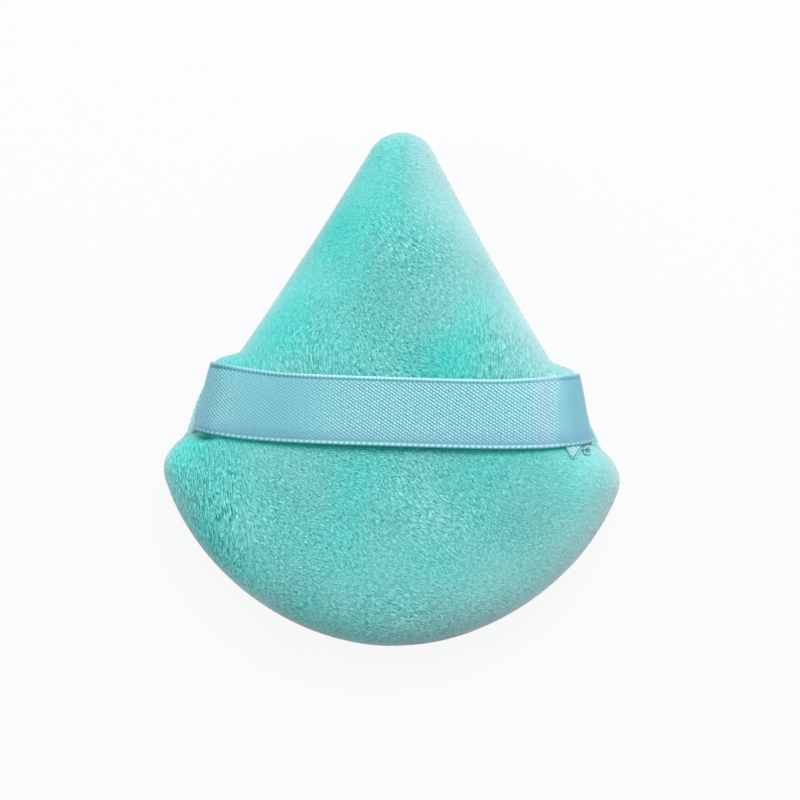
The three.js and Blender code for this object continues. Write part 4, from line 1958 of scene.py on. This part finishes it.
@dataclass
class PadSeam:
    """Where the threads of the seam and of the strap's ends run."""

    shape: PadShape
    stitch_line: float = 2.6
    stitch: float = 3.2
    fold_top: float = 8.0
    fold_foot: float = 5.2
    over_fold: float = 0.3
    rise: float = 0.2
    closing: float = 24.0
    closing_pitch: float = 3.0
    closing_from: float = 0.6
    slip_depths: Span = (0.3, 1.8)
    tack_turns: int = 6
    tack_depth: float = 4.2
    tack_start: float = 0.6
    tack_margin: float = 0.3
    face: PadFace = field(init=False)
    length: float = field(init=False)
    foot: float = field(init=False)
    head: float = field(init=False)

    def __post_init__(self) -> None:
        """Measure the rim, and find where the strap's right end meets it."""
        self.face = PadFace(self.shape, Side.FRONT)
        rim = self.shape.outline
        along = run_along(np.concatenate([rim, rim[:1]]))
        self.length = float(along[-1])
        self.foot, self.head = (
            float(along[np.argmin(np.linalg.norm(rim - spot, axis=1))])
            for spot in (self.shape.seat_foot, self.shape.seat_head))

    def turn(self, along: Array) -> Array:
        """Turn ways along the rim from the base into shares of the way round from the right."""
        return along / self.length - QUARTER_TURN

    def at(self, along: Array, distance: Array, height: float) -> Array:
        """Find places in the seam.

        Args:
            along: how far round the rim they are.
            distance: how far in from it each is.
            height: how high they all are.

        Returns:
            (n, 3) places.
        """
        turn = self.turn(along)
        spots = [self.face.inset(turn[i:i + 1], distance[i])[0] for i in range(len(turn))]
        return np.column_stack([spots, np.broadcast_to(height, len(turn))])

    def lockstitch(self, up: float, fold: float) -> Array:
        """Trace a thread of the side seam, from one end of the closing to the other.

        Args:
            up: 1 over the upper fold and -1 under the lower one.
            fold: height of that fold.

        Returns:
            (n, 3) places.
        """
        run = self.length - self.closing
        steps = np.arange(2 * round(run / self.stitch) + 1)
        along = self.foot - self.closing_from + run * steps / steps[-1]
        height = fold + up * (self.over_fold + self.rise * (steps % 2))
        return np.column_stack([self.face.inset(self.turn(along), self.stitch_line), height])

    def tack(self, side: float) -> Array:
        """Trace the zigzag that holds an end of the strap.

        Args:
            side: 1 on the right and -1 on the left.

        Returns:
            (n, 3) places.
        """
        steps = np.arange(2 * self.tack_turns + 1)
        along = np.linspace(self.foot + self.tack_margin, self.head - self.tack_margin, len(steps))
        depth = np.where(steps % 2, self.tack_depth, self.stitch_line + self.tack_start)
        return self.at(along, depth, self.fold_top + self.over_fold) * [side, 1.0, 1.0]

    def slip_stitch(self) -> Array:
        """Trace the hand-sewn thread that closes the seam below the strap's right end.

        Returns:
            (n, 3) places.
        """
        steps = np.arange(2 * round(self.closing / self.closing_pitch) + 1)
        along = self.foot - self.closing_from - self.closing * steps / steps[-1]
        near, far = self.slip_depths
        return self.at(along, np.where(steps % 2, far, near), self.shape.seam_height)

    def threads(self) -> list[SewnThread]:
        """List the threads of the seam and of the strap's ends.

        Returns:
            The threads, not built yet.
        """
        return [
            SewnThread("needle_stitches", self.lockstitch(1.0, self.fold_top), "needle_thread"),
            SewnThread("bobbin_stitches", self.lockstitch(-1.0, self.fold_foot), "bobbin_thread"),
            SewnThread("right_tack_stitches", self.tack(1.0), "right_strap_tack"),
            SewnThread("left_tack_stitches", self.tack(-1.0), "left_strap_tack"),
            SewnThread("slip_stitches", self.slip_stitch(), "closing_thread"),
        ]


@dataclass
class StrapTail:
    """The ribbon's cut end, folded under the strap, and the loose thread round its corner."""

    shape: PadShape
    tip: Point = (27.9, -9.75)
    left: tuple[Point, ...] = ((26.8, -4.2), (25.6, -6.3), (26.5, -7.7))
    right: tuple[Point, ...] = ((29.6, -4.2), (29.9, -6.4), (29.4, -7.5))
    falls: tuple[float, ...] = (0.0, 0.36, 0.6, 1.0)
    last_fall: float = 0.985
    out_run: Span = (0.45, 0.7)
    thickness: float = 0.16
    lift: float = 0.1
    arch: float = 0.12
    steps: int = 36
    shades: tuple[tuple[str, float], ...] = (("inside", 0.6), ("hem", 0.66), ("lilac", 0.0), ("shine", 0.15))
    climb: tuple[Point, ...] = ((28.7, -8.9), (29.2, -8.3))
    eye: Point = (30.1, -8.55)
    eye_size: float = 0.55
    eye_turns: tuple[float, float, float] = (170.0, 560.0, 40.0)
    eye_lift: Span = (0.25, 0.7)
    thread_lift: float = 0.12
    thread_step: float = 0.08
    piece: Piece = field(init=False)

    def on_pad(self, spots: Array, lift: float | Array) -> Array:
        """Lay plan spots on the front of the pad, some way over it."""
        height = self.shape.section(Side.FRONT, self.shape.edge_distance(spots[:, 0], spots[:, 1]))
        return np.column_stack([spots, height + lift])

    def build(self) -> Piece:
        """Make the folded end as a thin sheet, from the seam down to its corner.

        Returns:
            The folded end.
        """
        falls = np.linspace(0.0, self.last_fall, self.steps)
        left, right = (
            np.stack([np.interp(falls, self.falls, part) for part in np.transpose([*edge, self.tip])], -1)
            for edge in (self.left, self.right))
        across = np.linspace(0.0, 1.0, self.steps)[:, None]
        rings = []
        for start, end, out in zip(left, right, smooth_step(self.out_run, falls)):
            row = start + (end - start) * across
            arch = self.lift * out + self.arch * out * np.sin(math.pi * across[:, 0])
            upper = self.on_pad(row, arch + self.thickness)
            rings.append(np.concatenate([self.on_pad(row, arch), upper[::-1]]))
        places, faces = tube_mesh(np.array(rings))
        self.piece = mesh_piece("strap_tail", places, faces)
        x, y = places[:, 0], places[:, 1]
        store_places(self.piece, "cloth", np.column_stack([x, y, np.zeros_like(x)]))
        for name, value in self.shades:
            store(self.piece, name, np.full(len(x), value))
        return self.piece

    def thread(self) -> SewnThread:
        """Trace the loose thread down one side of the corner, up the other and round in a loop.

        Returns:
            The thread, not built yet.
        """
        turn = np.radians(np.arange(*self.eye_turns))
        loop = np.array(self.eye) + self.eye_size * np.stack([np.cos(turn), np.sin(turn)], -1)
        corner = [*self.left[1:], self.tip, *self.climb]
        rise = np.concatenate([
            np.full(len(corner), self.thread_lift), np.linspace(*self.eye_lift, len(loop))])
        points = self.on_pad(np.array([*corner, *loop]), rise)
        return SewnThread("tail_stitch", points, step=self.thread_step)

    def dress(self, finish: Material) -> None:
        """Give the folded end its finish and its place in the frame.

        Args:
            finish: the satin.
        """
        self.piece.data.materials.append(finish)
        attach(self.piece, "pad")


@dataclass(frozen=True)
class Softbox:
    """A square soft lamp that faces the puff, with its place and side in metres and its watts."""

    name: str
    place: Place
    side: float
    watts: float

    def hang(self) -> None:
        """Hang the lamp where the camera doesn't see it."""
        light = bpy.data.lights.new(self.name, "AREA")
        light.size = self.side
        light.energy = self.watts
        lamp = bpy.data.objects.new(self.name, light)
        lamp.location = self.place
        lamp.rotation_euler = (-Vector(self.place)).to_track_quat("-Z", "Y").to_euler()
        lamp.visible_camera = False
        bpy.context.scene.collection.objects.link(lamp)


@dataclass
class Studio:
    """White floor, soft lamps and a camera that looks straight down."""

    camera_height: float = 700.0
    frame_width: float = 124.6
    frame_plane: float = 6.6
    frame_middle: Point = (0.913, -1.669)
    frame_turn: float = 1.8
    sensor: float = 36.0
    clip: Span = (0.01, 20.0)
    white_share: float = 0.9
    world_light: float = 0.47
    floor_reach: float = 3000.0
    floor_spots: int = 9
    floor_height: float = -0.02
    floor_colour: Colour = (0.63, 0.63, 0.7)
    softboxes: tuple[Softbox, ...] = (
        Softbox("main_softbox", (0.15, 0.6, 0.72), 0.35, 5.4),
        Softbox("right_softbox", (0.73, 0.28, 0.42), 0.45, 2.3),
        Softbox("left_fill", (-0.7, 0.2, 0.4), 0.5, 2.35),
    )

    def build(self) -> None:
        """Make the floor, the world, the lamps and the camera."""
        self.floor()
        self.world()
        for softbox in self.softboxes:
            softbox.hang()
        self.camera()
        bpy.context.scene.view_settings.view_transform = "Standard"

    def floor(self) -> None:
        """Lay a white floor that shows to the camera as white with a soft shadow."""
        count = self.floor_spots
        spots = np.linspace(-self.floor_reach, self.floor_reach, count)
        x, y = np.meshgrid(spots, spots, indexing="ij")
        number = np.arange(count * count).reshape(count, count)
        places = np.column_stack([x.ravel(), y.ravel(), np.full(x.size, self.floor_height)])
        floor = mesh_piece("floor", places, [grid_quads(number)])
        material, matt, output = new_material("floor_white")
        material.node_tree.nodes.remove(matt)
        matt = shader(material, "ShaderNodeBsdfDiffuse", Color=(*self.floor_colour, 1.0))
        white = shader(material, "ShaderNodeEmission", Color=WHITE, Strength=1.0)
        seen = shader(material, "ShaderNodeMixShader", Fac=self.white_share)
        whole = shader(material, "ShaderNodeMixShader")
        ray = shader(material, "ShaderNodeLightPath")
        shine = shader(material, "ShaderNodeMath", operation="MAXIMUM")
        glass = shader(material, "ShaderNodeMath", operation="MAXIMUM")
        join(
            material,
            (ray.outputs["Is Camera Ray"], shine.inputs[0]),
            (ray.outputs["Is Glossy Ray"], shine.inputs[1]),
            (shine.outputs[0], glass.inputs[0]),
            (ray.outputs["Is Transmission Ray"], glass.inputs[1]),
            (matt.outputs[0], seen.inputs[1]),
            (white.outputs[0], seen.inputs[2]),
            (glass.outputs[0], whole.inputs[0]),
            (matt.outputs[0], whole.inputs[1]),
            (seen.outputs[0], whole.inputs[2]),
            (whole.outputs[0], output.inputs["Surface"]),
        )
        floor.data.materials.append(material)

    def world(self) -> None:
        """Light the scene evenly from all round, and show the camera white."""
        world = bpy.data.worlds.new("studio")
        world.use_nodes = True
        bpy.context.scene.world = world
        tree = world.node_tree
        light = tree.nodes["Background"]
        light.inputs["Color"].default_value = WHITE
        light.inputs["Strength"].default_value = self.world_light
        white = tree.nodes.new("ShaderNodeBackground")
        white.inputs["Color"].default_value = WHITE
        white.inputs["Strength"].default_value = 1.0
        ray = tree.nodes.new("ShaderNodeLightPath")
        mix = tree.nodes.new("ShaderNodeMixShader")
        tree.links.new(ray.outputs["Is Camera Ray"], mix.inputs[0])
        tree.links.new(light.outputs[0], mix.inputs[1])
        tree.links.new(white.outputs[0], mix.inputs[2])
        tree.links.new(mix.outputs[0], tree.nodes["World Output"].inputs["Surface"])

    def camera(self) -> None:
        """Hang the camera over the puff, turned as in the photograph."""
        data = bpy.data.cameras.new("camera")
        data.sensor_width = self.sensor
        data.lens = self.sensor * (self.camera_height - self.frame_plane) / self.frame_width
        data.clip_start, data.clip_end = self.clip
        camera = bpy.data.objects.new("camera", data)
        camera.location = (self.frame_middle[0] * MM, self.frame_middle[1] * MM, self.camera_height * MM)
        camera.rotation_euler = (0.0, 0.0, math.radians(self.frame_turn))
        bpy.context.scene.collection.objects.link(camera)
        bpy.context.scene.camera = camera


def main() -> None:
    """Build and dress the puff piece by piece."""
    logging.basicConfig(level=logging.INFO, format="%(name)s: %(message)s")
    shape = PadShape()
    Studio().build()
    strap, tail, foam = FingerStrap(shape), StrapTail(shape), FoamFilling(shape)
    velour, satin = VelourFinish().material(), SatinFinish(strap.weave).material()
    filling, spun = FoamFinish().material(), ThreadFinish().material()
    covers = [VelourCover(shape, side, seed) for side, seed in PILE_SEEDS.items()]
    threads = [*PadSeam(shape).threads(), tail.thread()]
    pieces = [(cover, velour) for cover in covers]
    pieces += [(foam, filling), (tail, satin), (strap, satin)]
    pieces += [(thread, spun) for thread in threads]
    for part, finish in pieces:
        piece = part.build()
        part.dress(finish)
        LOG.info("%s: %d faces", piece.name, len(piece.data.polygons))


if __name__ == "__main__":
    main()
